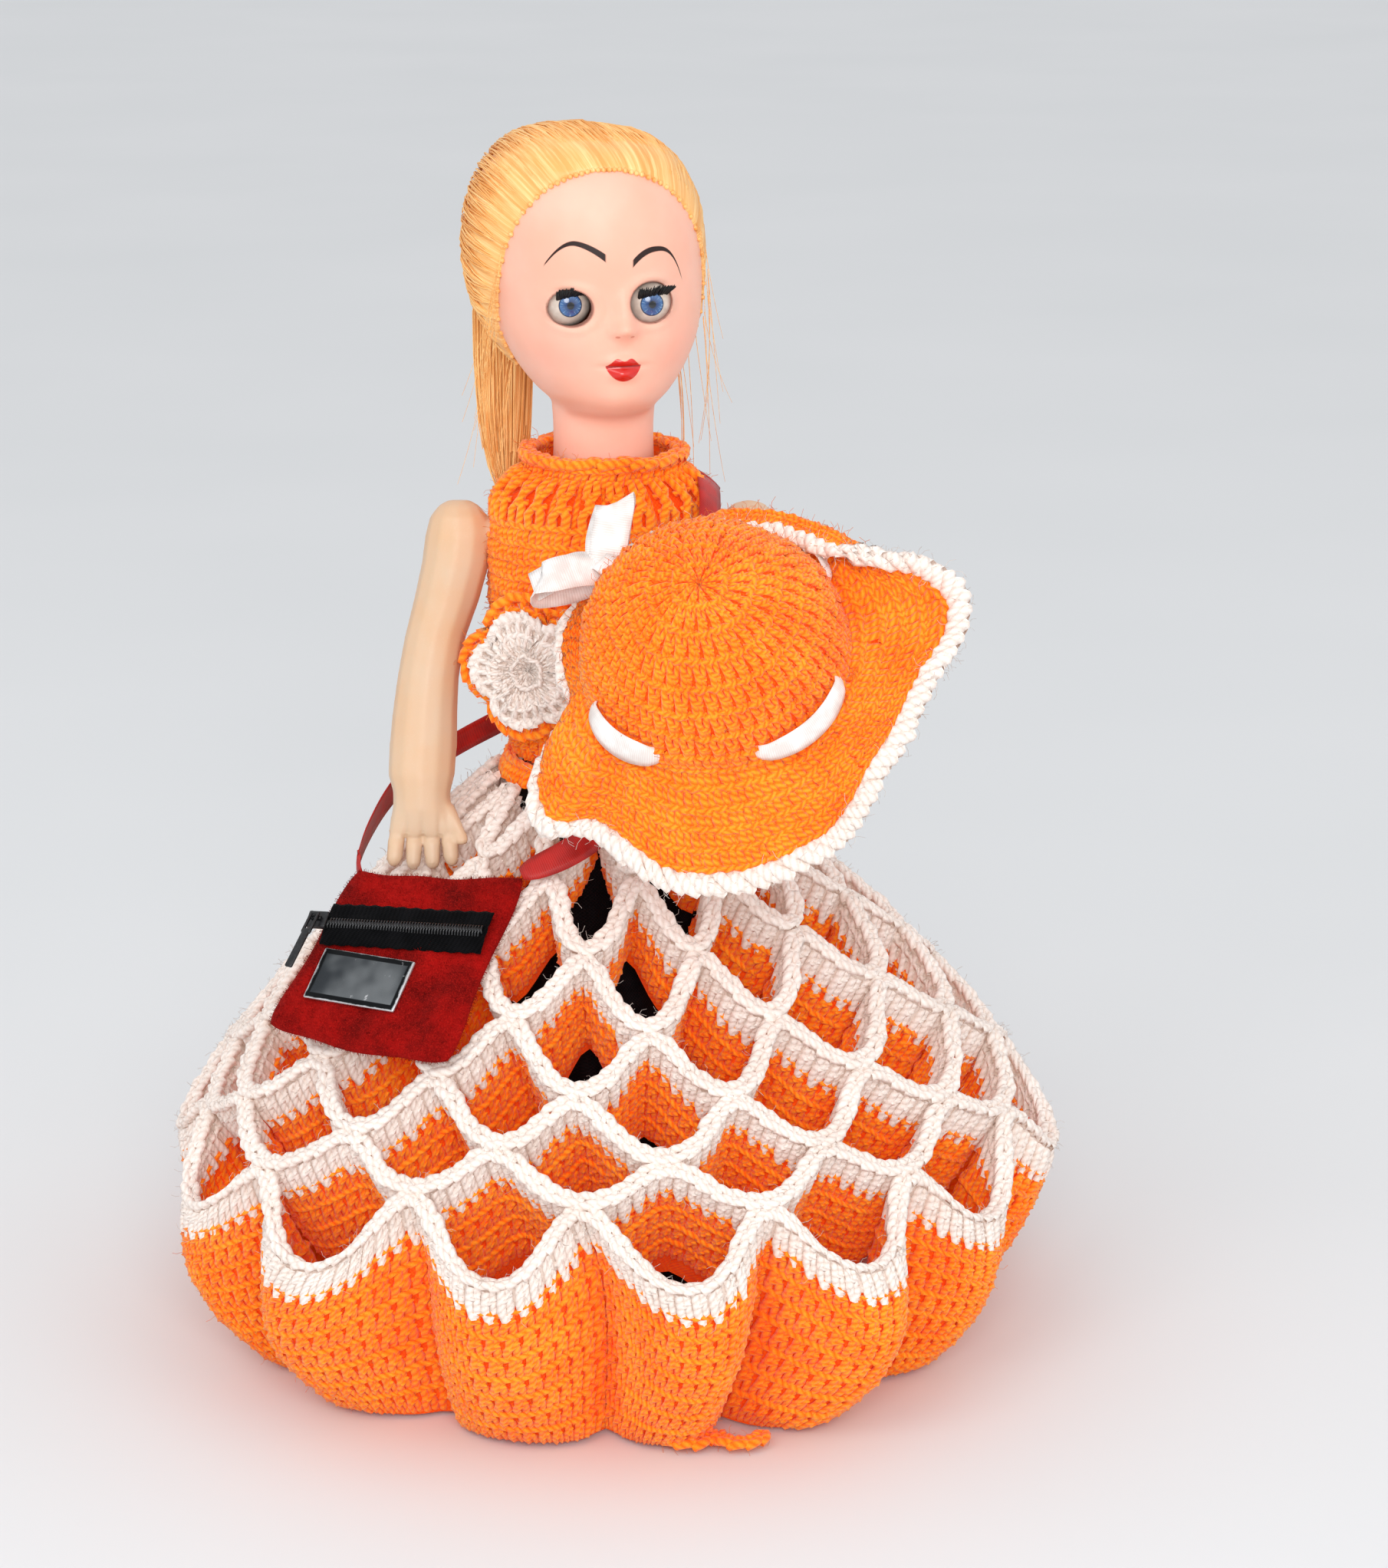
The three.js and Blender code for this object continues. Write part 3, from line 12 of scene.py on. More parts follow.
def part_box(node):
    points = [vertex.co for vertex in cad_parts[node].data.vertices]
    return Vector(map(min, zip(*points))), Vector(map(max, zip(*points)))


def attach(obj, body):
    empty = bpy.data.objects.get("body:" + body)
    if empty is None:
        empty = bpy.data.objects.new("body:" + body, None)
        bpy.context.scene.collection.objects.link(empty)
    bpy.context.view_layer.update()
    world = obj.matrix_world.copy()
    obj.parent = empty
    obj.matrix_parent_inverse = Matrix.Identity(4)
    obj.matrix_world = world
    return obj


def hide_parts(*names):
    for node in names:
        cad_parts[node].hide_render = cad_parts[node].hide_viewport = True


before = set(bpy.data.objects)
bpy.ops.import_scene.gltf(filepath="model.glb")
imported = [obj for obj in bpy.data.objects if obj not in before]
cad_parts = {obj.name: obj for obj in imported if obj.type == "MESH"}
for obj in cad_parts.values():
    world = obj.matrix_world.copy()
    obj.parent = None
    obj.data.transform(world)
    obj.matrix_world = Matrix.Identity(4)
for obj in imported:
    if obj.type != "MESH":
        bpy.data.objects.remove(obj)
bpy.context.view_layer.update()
scene = bpy.context.scene
dice = random.Random(7)
MM = 0.001


# Shader helpers
class Value:
    """A socket of a finish, whose sums and products add Math nodes."""

    def __init__(self, finish, socket):
        self.finish = finish
        self.socket = socket

    def math(self, operation, *others):
        return self.finish.sum(operation, self, *others)

    def __add__(self, other):
        return self.math("ADD", other)

    __radd__ = __add__

    def __mul__(self, other):
        return self.math("MULTIPLY", other)

    __rmul__ = __mul__

    def __sub__(self, other):
        return self.math("SUBTRACT", other)

    def __rsub__(self, other):
        return self.finish.sum("SUBTRACT", other, self)

    def __truediv__(self, other):
        return self.math("DIVIDE", other)

    def __abs__(self):
        return self.math("ABSOLUTE")

    def __pow__(self, other):
        return self.math("POWER", other)


class Finish:
    """A material, built node by node, and a slot name kept with it."""

    def __init__(self, name, **constants):
        self.slot = name
        self.material = bpy.data.materials.new(name)
        self.material.use_nodes = True
        self.tree = self.material.node_tree
        self.shader = self.tree.nodes["Principled BSDF"]
        self.set(**constants)

    def put(self, node, sockets):
        for key, value in sockets.items():
            if isinstance(value, Value):
                self.tree.links.new(value.socket, node.inputs[key])
            else:
                node.inputs[key].default_value = value

    def node(self, kind, settings=None, sockets=None, out=0):
        made = self.tree.nodes.new(kind)
        for key, value in (settings or {}).items():
            setattr(made, key, value)
        self.put(made, sockets or {})
        return Value(self, made.outputs[out])

    def set(self, **constants):
        self.put(self.shader, {key.replace("_", " "): value for key, value in constants.items()})

    def sum(self, operation, *parts):
        return self.node("ShaderNodeMath", {"operation": operation}, dict(enumerate(parts)))

    def where(self, name="Object"):
        return self.node("ShaderNodeTexCoord", out=name)

    def axes(self, vector):
        split = self.tree.nodes.new("ShaderNodeSeparateXYZ")
        self.tree.links.new(vector.socket, split.inputs[0])
        return [Value(self, socket) for socket in split.outputs]

    def local(self, matrix):
        """Object coordinates in the frame whose matrix is given, in metres."""
        inverse = matrix.inverted()
        place, turn, _ = inverse.decompose()
        sockets = {"Vector": self.where(), "Location": place, "Rotation": turn.to_euler()}
        return self.node("ShaderNodeMapping", None, sockets)

    def noise(self, scale, detail=2.0, vector=None, rough=0.5):
        sockets = {"Vector": vector or self.where(), "Scale": scale, "Detail": detail, "Roughness": rough}
        return self.node("ShaderNodeTexNoise", None, sockets)

    def plane(self, x, y):
        return self.node("ShaderNodeCombineXYZ", None, {0: x, 1: y})

    def ease(self, value, low, high):
        settings = {"interpolation_type": "SMOOTHSTEP"}
        return self.node("ShaderNodeMapRange", settings, {0: value, 1: low, 2: high})

    def mix(self, share, first, second):
        return self.node("ShaderNodeMix", {"data_type": "RGBA"}, {0: share, 6: first, 7: second}, 2)

    def bump(self, height, depth, strength=1.0):
        return self.node("ShaderNodeBump", None, {"Height": height, "Distance": depth, "Strength": strength})


def rgb(red, green, blue):
    """The linear colour of an sRGB one in steps of 255."""
    tones = [tone / 255 for tone in (red, green, blue)]
    return (*[((t + 0.055) / 1.055) ** 2.4 if t > 0.04 else t / 12.92 for t in tones], 1.0)


# Finishes
# Glow strengths, painted light: emission that lifts the shade of yarn and hair in the cells, gaps and
# strands.
GLOW = 0.075
WHITE_GLOW = 0.1
HAIR_GLOW = 0.06


def yarn(name, deep, middle, bright, glow, strength):
    f = Finish(name, Sheen_Weight=0.25, Sheen_Roughness=0.5, Specular_IOR_Level=0.15)
    # The emission is painted light: a glow that lifts the yarn's shade in the cells and gaps.
    f.set(Emission_Color=glow, Emission_Strength=strength)
    along, way_round, _ = f.axes(f.where("UV"))
    ply = abs(((along * 0.42 + way_round * 2.0) * math.pi).math("SINE"))
    fibre = f.noise(1900, 3.0)
    patch = f.noise(75, 1.0)
    # The tone is partly painted shade, darker in the ply grooves, and partly random tone of fibre and
    # patches.
    tone = ply * 0.4 + fibre * 0.35 + patch * 0.4
    colour = f.mix(f.ease(tone, 0.25, 0.55), deep, middle)
    f.set(
        Base_Color=f.mix(f.ease(tone, 0.55, 0.9), colour, bright),
        Roughness=0.97 - fibre * 0.15,
        Normal=f.bump(ply * 0.5 + fibre * 0.6, 0.5 * MM, 0.8),
    )
    return f


# Glow colours of the orange and white yarn: painted light bounced in the cells.
ORANGE_GLOW_COLOUR = rgb(255, 70, 0)
ORANGE = yarn("orange_yarn", rgb(255, 82, 4), rgb(255, 128, 14), rgb(255, 166, 44), ORANGE_GLOW_COLOUR, GLOW)
WHITE_GLOW_COLOUR = rgb(255, 208, 184)
WHITE = yarn("white_yarn", rgb(212, 197, 186), rgb(230, 219, 210), rgb(243, 236, 230), WHITE_GLOW_COLOUR, WHITE_GLOW)


def weave(name, dark, light, scale, glow=0.0, sheen=0.1):
    f = Finish(name, Sheen_Weight=sheen, Specular_IOR_Level=2 * sheen)
    # When glow is set, the emission is painted light that lifts the cloth's shade.
    f.set(Emission_Color=light, Emission_Strength=glow)
    x, y, z = f.axes(f.where())
    threads = ((x + y * 0.7) * scale).math("SINE") * ((z + y * 0.3) * scale).math("SINE")
    patch = f.noise(160, 3.0)
    f.set(
        Base_Color=f.mix(f.ease(threads * 0.25 + patch, 0.25, 0.85), dark, light),
        Roughness=0.95 - patch * 0.15,
        Normal=f.bump(threads + patch, 0.2 * MM, 0.5),
    )
    return f


GROUND = weave("orange_ground", rgb(248, 78, 6), rgb(255, 106, 11), 3800, GLOW)
GROUND.slot = ORANGE.slot
ZIP_CLOTH = weave("zip_cloth", rgb(5, 5, 6), rgb(15, 15, 17), 6200, sheen=0.02)
BLACK = weave("black_cloth", rgb(9, 9, 11), rgb(24, 23, 26), 5200, sheen=0.03)


def plastic(name, base, warm, light):
    f = Finish(name, Subsurface_Weight=0.12, Subsurface_Scale=0.004, Specular_IOR_Level=0.45)
    f.set(Subsurface_Radius=(1.0, 0.45, 0.25))
    cloud = f.noise(38, 3.0)
    grain = f.noise(1500, 2.0)
    colour = f.mix(f.ease(cloud, 0.3, 0.7), base, warm)
    f.set(
        Base_Color=f.mix(f.ease(grain, 0.55, 0.9) * 0.25, colour, light),
        Roughness=0.36 + cloud * 0.12 + grain * 0.08,
        Normal=f.bump(grain, 0.05 * MM, 0.3),
    )
    return f


LIMB = plastic("body_plastic", rgb(216, 187, 157), rgb(218, 178, 140), rgb(225, 203, 180))


def satin(name, dark, light):
    f = Finish(name, Anisotropic=0.6, Specular_IOR_Level=0.4, Sheen_Weight=0.05)
    along, across, _ = f.axes(f.where("UV"))
    ribs = (along * 9.0).math("SINE")
    threads = (across * 60.0).math("SINE")
    soft = f.noise(140, 2.0)
    f.set(
        Base_Color=f.mix(f.ease(soft + ribs * 0.08, 0.3, 0.7), dark, light),
        Roughness=0.3 + soft * 0.2,
        Normal=f.bump(ribs * 0.6 + threads * 0.3, 0.06 * MM, 0.5),
    )
    return f


RED_SATIN = satin("red_satin", rgb(150, 11, 7), rgb(188, 24, 15))
WHITE_SATIN = satin("white_satin", rgb(222, 212, 206), rgb(250, 247, 244))


def velvet():
    f = Finish("red_velvet", Sheen_Weight=0.3, Sheen_Roughness=0.35, Specular_IOR_Level=0.1)
    f.set(Sheen_Tint=rgb(255, 70, 60))
    pile = f.noise(2400, 3.0)
    # Lighter and darker patches of brushed pile: painted sheen; the same noise also shapes the bump.
    nap_sheen = f.noise(46, 4.0, rough=0.65)
    colour = f.mix(f.ease(nap_sheen, 0.32, 0.68), rgb(88, 2, 2), rgb(154, 9, 7))
    f.set(
        # Light speckles of pile mixed towards rgb(194, 36, 25): painted highlights.
        Base_Color=f.mix(f.ease(pile, 0.45, 0.75) * 0.5, colour, rgb(194, 36, 25)),
        Roughness=0.85 + pile * 0.15,
        Normal=f.bump(pile + nap_sheen * 0.5, 0.5 * MM, 0.7),
    )
    return f


VELVET = velvet()


def hard(f, dark, light, rough, grain, low, high, uneven, relief):
    f.set(
        Base_Color=f.mix(f.ease(grain, low, high), dark, light),
        Roughness=rough + grain * uneven,
        Normal=f.bump(grain, 0.05 * MM, relief),
    )
    return f


def metal(name, dark, light, rough):
    f = Finish(name, Metallic=1.0)
    return hard(f, dark, light, rough, f.noise(420, 4.0), 0.35, 0.65, 0.2, 0.3)


def moulded(name, dark, light, rough):
    f = Finish(name, Specular_IOR_Level=0.5)
    return hard(f, dark, light, rough, f.noise(900, 3.0), 0.4, 0.75, 0.15, 0.4)


WIRE = metal("wire", rgb(120, 122, 126), rgb(180, 182, 186), 0.25)
BLACK_ENAMEL = moulded("zip_metal", rgb(14, 14, 16), rgb(34, 34, 38), 0.25)
COIL = moulded("zip_teeth", rgb(14, 14, 15), rgb(40, 40, 44), 0.2)
LASH = moulded("lash", rgb(8, 7, 7), rgb(22, 20, 20), 0.55)


# Mesh helpers
def moved(x, y, z):
    """The shift by a distance in millimetres."""
    return Matrix.Translation(Vector((x, y, z)) * MM)


def turned(degrees, axis):
    return Matrix.Rotation(math.radians(degrees), 4, axis)


def aimed(way):
    """The turn that takes Z along a vector."""
    return way.to_track_quat("Z", "Y").to_matrix().to_4x4()


def read(mesh, what="co"):
    flat = np.empty(3 * len(mesh.vertices), np.float32)
    mesh.vertices.foreach_get(what, flat)
    return flat.reshape(-1, 3).astype(float)


def write(mesh, points):
    mesh.vertices.foreach_set("co", np.ascontiguousarray(points, np.float32).ravel())
    mesh.update()


def baked(bm):
    mesh = bpy.data.meshes.new("piece")
    bm.to_mesh(mesh)
    bm.free()
    mesh.shade_smooth()
    return mesh


def opened(mesh):
    bm = bmesh.new()
    bm.from_mesh(mesh)
    return bm


def verts_of(geometry):
    return [g for g in geometry if isinstance(g, bmesh.types.BMVert)]


def grid(columns, rows, size=1.0):
    bm = bmesh.new()
    bmesh.ops.create_grid(bm, x_segments=columns, y_segments=rows, size=size, calc_uvs=True)
    return baked(bm)


def painted(data, finish):
    data.materials.clear()
    data.materials.append(finish.material)


def keep(name, data, body, finish, *nodes, place=None):
    """One piece of the doll: it rides on a body and stands for the nodes named."""
    if place:
        data.transform(place)
    piece = bpy.data.objects.new(name, data)
    scene.collection.objects.link(piece)
    painted(data, finish)
    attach(piece, body)
    if nodes:
        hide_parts(*nodes)
    return piece


def evaluated(mesh, *modifiers):
    """A mesh after the modifiers given as a type and its settings."""
    holder = bpy.data.objects.new("holder", mesh)
    scene.collection.objects.link(holder)
    for kind, settings in modifiers:
        added = holder.modifiers.new(kind, kind)
        for key, value in settings.items():
            setattr(added, key, value)
    made = bpy.data.meshes.new_from_object(holder.evaluated_get(bpy.context.evaluated_depsgraph_get()))
    bpy.data.objects.remove(holder)
    return made


def repeat(count, step):
    """A row of copies, each moved by a step from the last."""
    offsets = {"use_relative_offset": False, "use_constant_offset": True, "constant_offset_displace": step}
    return "ARRAY", {"count": count, **offsets}


def joined(meshes):
    bm = bmesh.new()
    for mesh in meshes:
        bm.from_mesh(mesh)
    return baked(bm)


def curve(points, count):
    """Points along a smooth curve through the given ones."""
    keys = np.array(points, float)
    keys = np.vstack([2 * keys[0] - keys[1], keys, 2 * keys[-1] - keys[-2]])
    way = np.linspace(0, len(points) - 1, count)
    k = np.minimum(way.astype(int), len(points) - 2)
    f = (way - k)[:, None]
    a, b, c, d = (keys[k + i] for i in range(4))
    return b + 0.5 * f * (c - a + f * (2 * a - 5 * b + 4 * c - d + f * (3 * (b - c) + d - a)))


def keyed(rows, at):
    """Values between the rows of keys, whose first column is what `at` counts in."""
    fine = curve(rows, 40 * len(rows))
    return [np.interp(at, fine[:, 0], column) for column in fine.T[1:]]


def unit(vectors):
    return vectors / np.maximum(np.linalg.norm(vectors, axis=-1, keepdims=True), 1e-12)


def over(surface, s, t, height):
    """Points at a height over the outer side of a surface of two shares."""
    step = 1e-4
    across = surface(s + step, t) - surface(s - step, t)
    down = surface(s, t + step) - surface(s, t - step)
    return surface(s, t) - unit(np.cross(across, down)) * height[:, None]


def lifted(surface, height):
    """The surface at one height in millimetres over another."""
    return lambda s, t: over(surface, s, t, np.full(len(s), height * MM))


def cloth(surface, steps_round, steps_down, low=0.0, high=1.0):
    """The ground of a crocheted piece: a sheet over its surface."""
    mesh = grid(steps_round, steps_down, 0.5)
    points = read(mesh)
    shares = low + (high - low) * (points[:, 1] + 0.5)
    write(mesh, surface(points[:, 0] + 0.5, shares))
    bm = opened(mesh)
    bmesh.ops.remove_doubles(bm, verts=bm.verts, dist=0.01 * MM)
    return baked(bm)


def area_of(mesh):
    return sum(face.area for face in mesh.polygons)


# Yarn: strands, stitches and cloths of stitches
def strand(bm, thick, sides, path):
    """A round strand through points in millimetres, its length and its way round kept as UV."""
    uv = bm.loops.layers.uv.verify()
    points = [Vector(point) * MM for point in path]
    length = 0.0
    marks = {}
    rings = []
    for k, point in enumerate(points):
        ahead = points[min(k + 1, len(points) - 1)] - points[max(k - 1, 0)]
        place = Matrix.Translation(point) @ aimed(ahead)
        made = bmesh.ops.create_circle(bm, segments=sides, radius=thick * MM, matrix=place)["verts"]
        length += (point - points[max(k - 1, 0)]).length / MM
        for i, vert in enumerate(made):
            marks[vert] = (length, i / sides)
        rings.append({edge for vert in made for edge in vert.link_edges})
    for ring, after in zip(rings, rings[1:]):
        faces = bmesh.ops.bridge_loops(bm, edges=[*ring, *after])["faces"]
        for face in faces:
            seam = max(marks[loop.vert][1] for loop in face.loops) > 0.7
            for loop in face.loops:
                along, way_round = marks[loop.vert]
                loop[uv].uv = (along, way_round + (1.0 if seam and way_round < 0.3 else 0.0))


def stitch(*strands):
    bm = bmesh.new()
    for thick, sides, *path in strands:
        strand(bm, thick, sides, path)
    bmesh.ops.recalc_face_normals(bm, faces=bm.faces)
    return baked(bm)


TREBLE = stitch(
    (1.25, 5, (1.2, 9.9, 0.1), (1.1, 7.2, 0.75), (2.0, 4.4, 0.95), (2.2, 1.2, 0.4)),
    (1.25, 5, (3.6, 9.7, -0.1), (3.9, 6.6, 0.35), (3.2, 3.9, 0.1), (3.9, 1.0, 0.1)),
    (0.95, 4, (0.4, 6.8, -0.3), (2.2, 5.2, 1.8), (4.5, 3.9, 0.5)),
    (1.15, 4, (-0.3, 1.3, 0.7), (2.0, 0.3, 1.2), (4.9, 1.1, 0.6)),
    (1.0, 4, (-0.2, 0.6, -0.9), (2.4, 0.2, -0.8), (5.2, 0.6, -0.9)),
)
SPIKE = stitch(
    (1.35, 5, (2.4, 12.6, 0.9), (1.4, 8.4, 1.2), (1.7, 4.6, 1.3), (1.9, 0.8, 0.7)),
    (1.35, 5, (2.8, 11.4, 0.5), (3.9, 8.0, 0.6), (3.6, 4.2, 0.6), (4.1, 0.8, 0.4)),
    (1.0, 4, (0.4, 6.4, -0.2), (2.4, 4.8, 2.0), (4.6, 3.4, 0.6)),
    (1.35, 4, (1.0, 10.8, -0.9), (2.4, 5.4, -1.1), (3.4, 1.0, -0.9)),
    (1.1, 4, (-0.2, 3.0, -1.2), (2.4, 4.0, -1.3), (5.2, 3.0, -1.2)),
)
CHAIN = stitch(
    (1.55, 6, (-1.0, 0.1, -1.6), (1.4, -1.0, -1.9), (3.9, -1.0, -1.1), (6.0, 0.0, 0.1)),
    (1.55, 6, (-1.0, 0.1, 1.6), (1.4, -1.0, 1.9), (3.9, -1.0, 1.1), (6.0, 0.0, -0.1)),
)
HALF = stitch(
    (1.2, 5, (0.9, 6.8, 0.0), (1.4, 3.8, 0.9), (2.4, 0.9, 0.4)),
    (1.2, 5, (3.1, 6.6, -0.1), (3.6, 3.6, 0.5), (3.9, 0.9, 0.2)),
    (1.1, 5, (-0.4, 1.3, 0.8), (1.7, 0.3, 1.3), (4.4, 1.1, 0.6)),
    (1.0, 4, (-0.2, 0.5, -0.8), (2.1, 0.2, -0.8), (4.5, 0.5, -0.8)),
)
RIB = stitch(
    (1.35, 6, (1.9, 16.6, 0.4), (1.7, 12.6, 2.2), (3.8, 8.3, 2.8), (2.2, 4.3, 2.5), (2.6, 0.2, 0.8)),
    (1.35, 6, (5.1, 16.6, 0.4), (5.4, 12.1, 2.0), (3.1, 8.0, 2.3), (5.2, 4.3, 2.2), (4.9, 0.2, 0.8)),
    (1.0, 4, (1.2, 11.2, 0.8), (3.5, 10.4, 3.5), (5.9, 9.2, 0.9)),
    (1.0, 4, (1.3, 6.2, 0.8), (3.5, 5.5, 3.4), (5.9, 4.1, 0.9)),
    (1.2, 4, (6.9, 16.2, -1.0), (7.1, 8.2, -1.0), (6.9, 0.6, -1.0)),
)
TWIST = stitch(
    (2.0, 6, (-1.8, -2.2, -0.6), (0.4, -1.5, 1.7), (2.8, 1.6, 1.9), (5.2, 2.8, -0.2)),
    (2.0, 6, (-1.8, 1.8, 0.4), (0.8, 0.4, -1.7), (3.2, -2.2, -1.7), (5.2, -2.6, 0.4)),
)
FIBRE = stitch((0.06, 3, (0, 0, -0.3), (0.3, 0.2, 1.4), (1.6, 0.6, 2.3)))
TUFT = stitch((0.15, 3, (0, 0, -0.3), (0.3, 0.1, 1.2), (1.0, 0.3, 1.9)))


def pile(fibre, mesh, count, least, reach, seed):
    """Fibres that stand out of a mesh at places picked by chance."""
    chance = np.random.default_rng(seed)
    picked = chance.integers(0, len(mesh.vertices), count)
    up = unit(read(mesh, "normal")[picked] + chance.normal(0, 0.35, (count, 3)))
    aside = unit(np.cross(up, chance.normal(0, 1, (count, 3))))
    frames = np.stack([aside, np.cross(up, aside), up], axis=1) * chance.uniform(least, reach, (count, 1, 1))
    hairs = evaluated(fibre, repeat(count, (0, 0, 0)))
    local = read(hairs).reshape(count, -1, 3)
    write(hairs, (np.einsum("nij,njk->nik", local, frames) + read(mesh)[picked][:, None]).reshape(-1, 3))
    return hairs


def fuzzy(mesh, count, reach, seed):
    """A mesh of yarn with its loose fibres."""
    return joined([mesh, pile(FIBRE, mesh, count, 0.6, reach, seed)])


def knit(template, columns, rows, wide, high, surface, length, first=0.0, seed=1, upwards=False, uneven=0.14):
    """A cloth of one stitch in columns and rows of the sizes given in millimetres, laid over a surface
    whose length is given, from `first` on; no two stitches are quite alike."""
    mesh = evaluated(template, repeat(columns, (wide * MM, 0, 0)), repeat(rows, (0, high * MM, 0)))
    points = read(mesh) / MM
    chance = np.random.default_rng(seed)
    each = len(template.vertices)
    points += np.repeat(chance.normal(0, uneven, (len(points) // each, 3)), each, axis=0)
    points *= np.repeat(chance.normal(1, 0.06, (len(points) // each, 1)), each, axis=0) ** [0, 0, 1]
    down = rows * high - points[:, 1] if upwards else points[:, 1]
    write(mesh, over(surface, points[:, 0] / (columns * wide), (first + down) / length, points[:, 2] * MM))
    if not upwards:
        mesh.flip_normals()
    return mesh


# Camera, light and floor
def look(place, aim):
    return (Vector(aim) - Vector(place)).to_track_quat("-Z", "Y").to_euler()


camera = bpy.data.objects.new("camera", bpy.data.cameras.new("camera"))
camera.data.sensor_fit = "VERTICAL"
camera.data.sensor_height = 36
camera.data.lens = 94.84
camera.location = (0.030, -1.3458, 0.5769)
camera.rotation_euler = look(camera.location, (0.030, 0, 0.191))
scene.collection.objects.link(camera)
scene.camera = camera


def lamp(name, place, size, power):
    light = bpy.data.lights.new(name, "AREA")
    light.shape = "DISK"
    light.size = size
    light.energy = power
    holder = bpy.data.objects.new(name, light)
    holder.location = place
    holder.rotation_euler = look(place, LIT)
    scene.collection.objects.link(holder)


LIT = (0, 0, 0.2)
lamp("key", (-0.8, -1.5, 1.5), 1.1, 8)
lamp("front", (0.1, -1.6, 0.85), 0.7, 10.5)
lamp("fill", (1.4, -1.4, 0.9), 1.6, 4)
world = bpy.data.worlds.new("studio")
world.use_nodes = True
sky = world.node_tree.nodes["Background"].inputs
sky["Color"].default_value = (0.97, 0.98, 1.0, 1)
sky["Strength"].default_value = 0.86
scene.world = world
scene.view_settings.view_transform = "Standard"

bm = bmesh.new()
bmesh.ops.create_circle(bm, cap_ends=True, segments=64, radius=14)
floor = bpy.data.objects.new("floor", baked(bm))
scene.collection.objects.link(floor)
paper = Finish("paper", Specular_IOR_Level=0.2, Roughness=0.9)
paper.set(Base_Color=paper.mix(paper.noise(3, 2.0), rgb(222, 224, 225), rgb(229, 230, 231)))
painted(floor.data, paper)


# Skirt: its outline in millimetres, and the seams between its bands as shares of the way up
CELLS = 14
BANDS = 6
RIM_RADIUS = 147
RIM_HEIGHT = 66
SKIRT_HEIGHT = 137
FIRST_SEAM = 0.168
LAST_SEAM = 0.96
SEAM_GAP = 0.011
WHITE_ROW = 9.6
ROW_HEIGHT = 9.2
CUP_ROWS = 7
CUP_DEPTH = 76.0
CUP_FOOT = 114
CUP_KNEE = 0.6
HEM_HEIGHT = 1.4
RIM_A_STITCH = 5.3
STITCH_WIDTH = 5.0
STITCH_HEIGHT = 10


def outline(share):
    return RIM_RADIUS - 117 * share**1.4, RIM_HEIGHT + SKIRT_HEIGHT * share


def seam(row):
    return FIRST_SEAM + (LAST_SEAM - FIRST_SEAM) * (row / BANDS) ** 1.15


def scallop(angle):
    """A wave from -1 to 1 with narrow peaks and broad valleys."""
    return np.cos(angle) + 0.1 * (np.cos(2 * angle) - 1)


def ring(radius, z, azimuth):
    slack = np.clip((z - 8) / 60, 0, 1) * np.clip((197 - z) / 60, 0, 1)
    angle = azimuth - math.radians(2) + slack * 0.038 * np.sin(2 * azimuth + z / 40 + 1)
    radius = radius + slack * 3.2 * np.sin(5 * azimuth + z / 35 + 3.8)
    z = z + slack * 3.2 * np.sin(3 * azimuth + z / 50)
    return np.stack([radius * np.sin(angle), -radius * np.cos(angle), z], axis=-1) * MM


def even(rim):
    """The azimuth at each share of the way along a rim given by azimuth, and the rim's length."""
    azimuths = np.linspace(0, 2 * math.pi, 1400)
    steps = np.linalg.norm(np.diff(rim(azimuths), axis=0), axis=1)
    ways = np.concatenate([[0], np.cumsum(steps)])
    length = ways[-1]
    return (lambda s: np.interp(s % 1, ways / length, azimuths) + 2 * math.pi * np.floor(s)), length


def band_surface(number):
    way = (number - 1) / (BANDS - 1)
    dip = math.radians(60 + 8 * way)
    depth = 56 - 35 * way**1.8
    low = seam(number - 1) + SEAM_GAP
    high = seam(number) - SEAM_GAP

    def at(azimuth, t):
        wave = scallop(CELLS * azimuth - math.pi * number)
        radius, z = outline(low + (high - low) * (1 + wave) / 2)
        return ring(radius - depth * t * math.cos(dip), z - depth * t * math.sin(dip), azimuth)

    azimuth_of, length = even(lambda azimuth: at(azimuth, 0))
    return (lambda s, t: at(azimuth_of(s), t)), length, depth


def cup_surface():
    def at(azimuth, t):
        wave = scallop(CELLS * azimuth)
        radius, rim_z = outline((seam(0) - SEAM_GAP) * (1 + wave) / 2)
        radius = radius + 1.5 * (1 - wave)
        lean = 0.07 * t * (1 - t) * np.sin(3 * azimuth + 0.6) + 0.05 * t * np.sin(5 * azimuth + 2)
        fold = 1 + 0.45 * np.sin(4 * azimuth + 5.2)
        tuck = np.clip(wave, 0, 1) ** 3
        foot = CUP_FOOT - 5 * fold * wave - 7 * tuck
        middle = foot + 0.45 * (radius - foot) + (4 - 5 * wave) * fold - 4 * tuck
        bend = radius * (CUP_KNEE - t) * (1 - t) / CUP_KNEE
        bend = bend + middle * t * (1 - t) / (CUP_KNEE * (1 - CUP_KNEE))
        bend = bend + foot * t * (t - CUP_KNEE) / (1 - CUP_KNEE)
        return ring(bend, HEM_HEIGHT + (rim_z - HEM_HEIGHT) * (1 - t), azimuth + lean)

    azimuth_of, length = even(lambda azimuth: at(azimuth, 0))
    return (lambda s, t: at(azimuth_of(s), t)), length, CUP_DEPTH


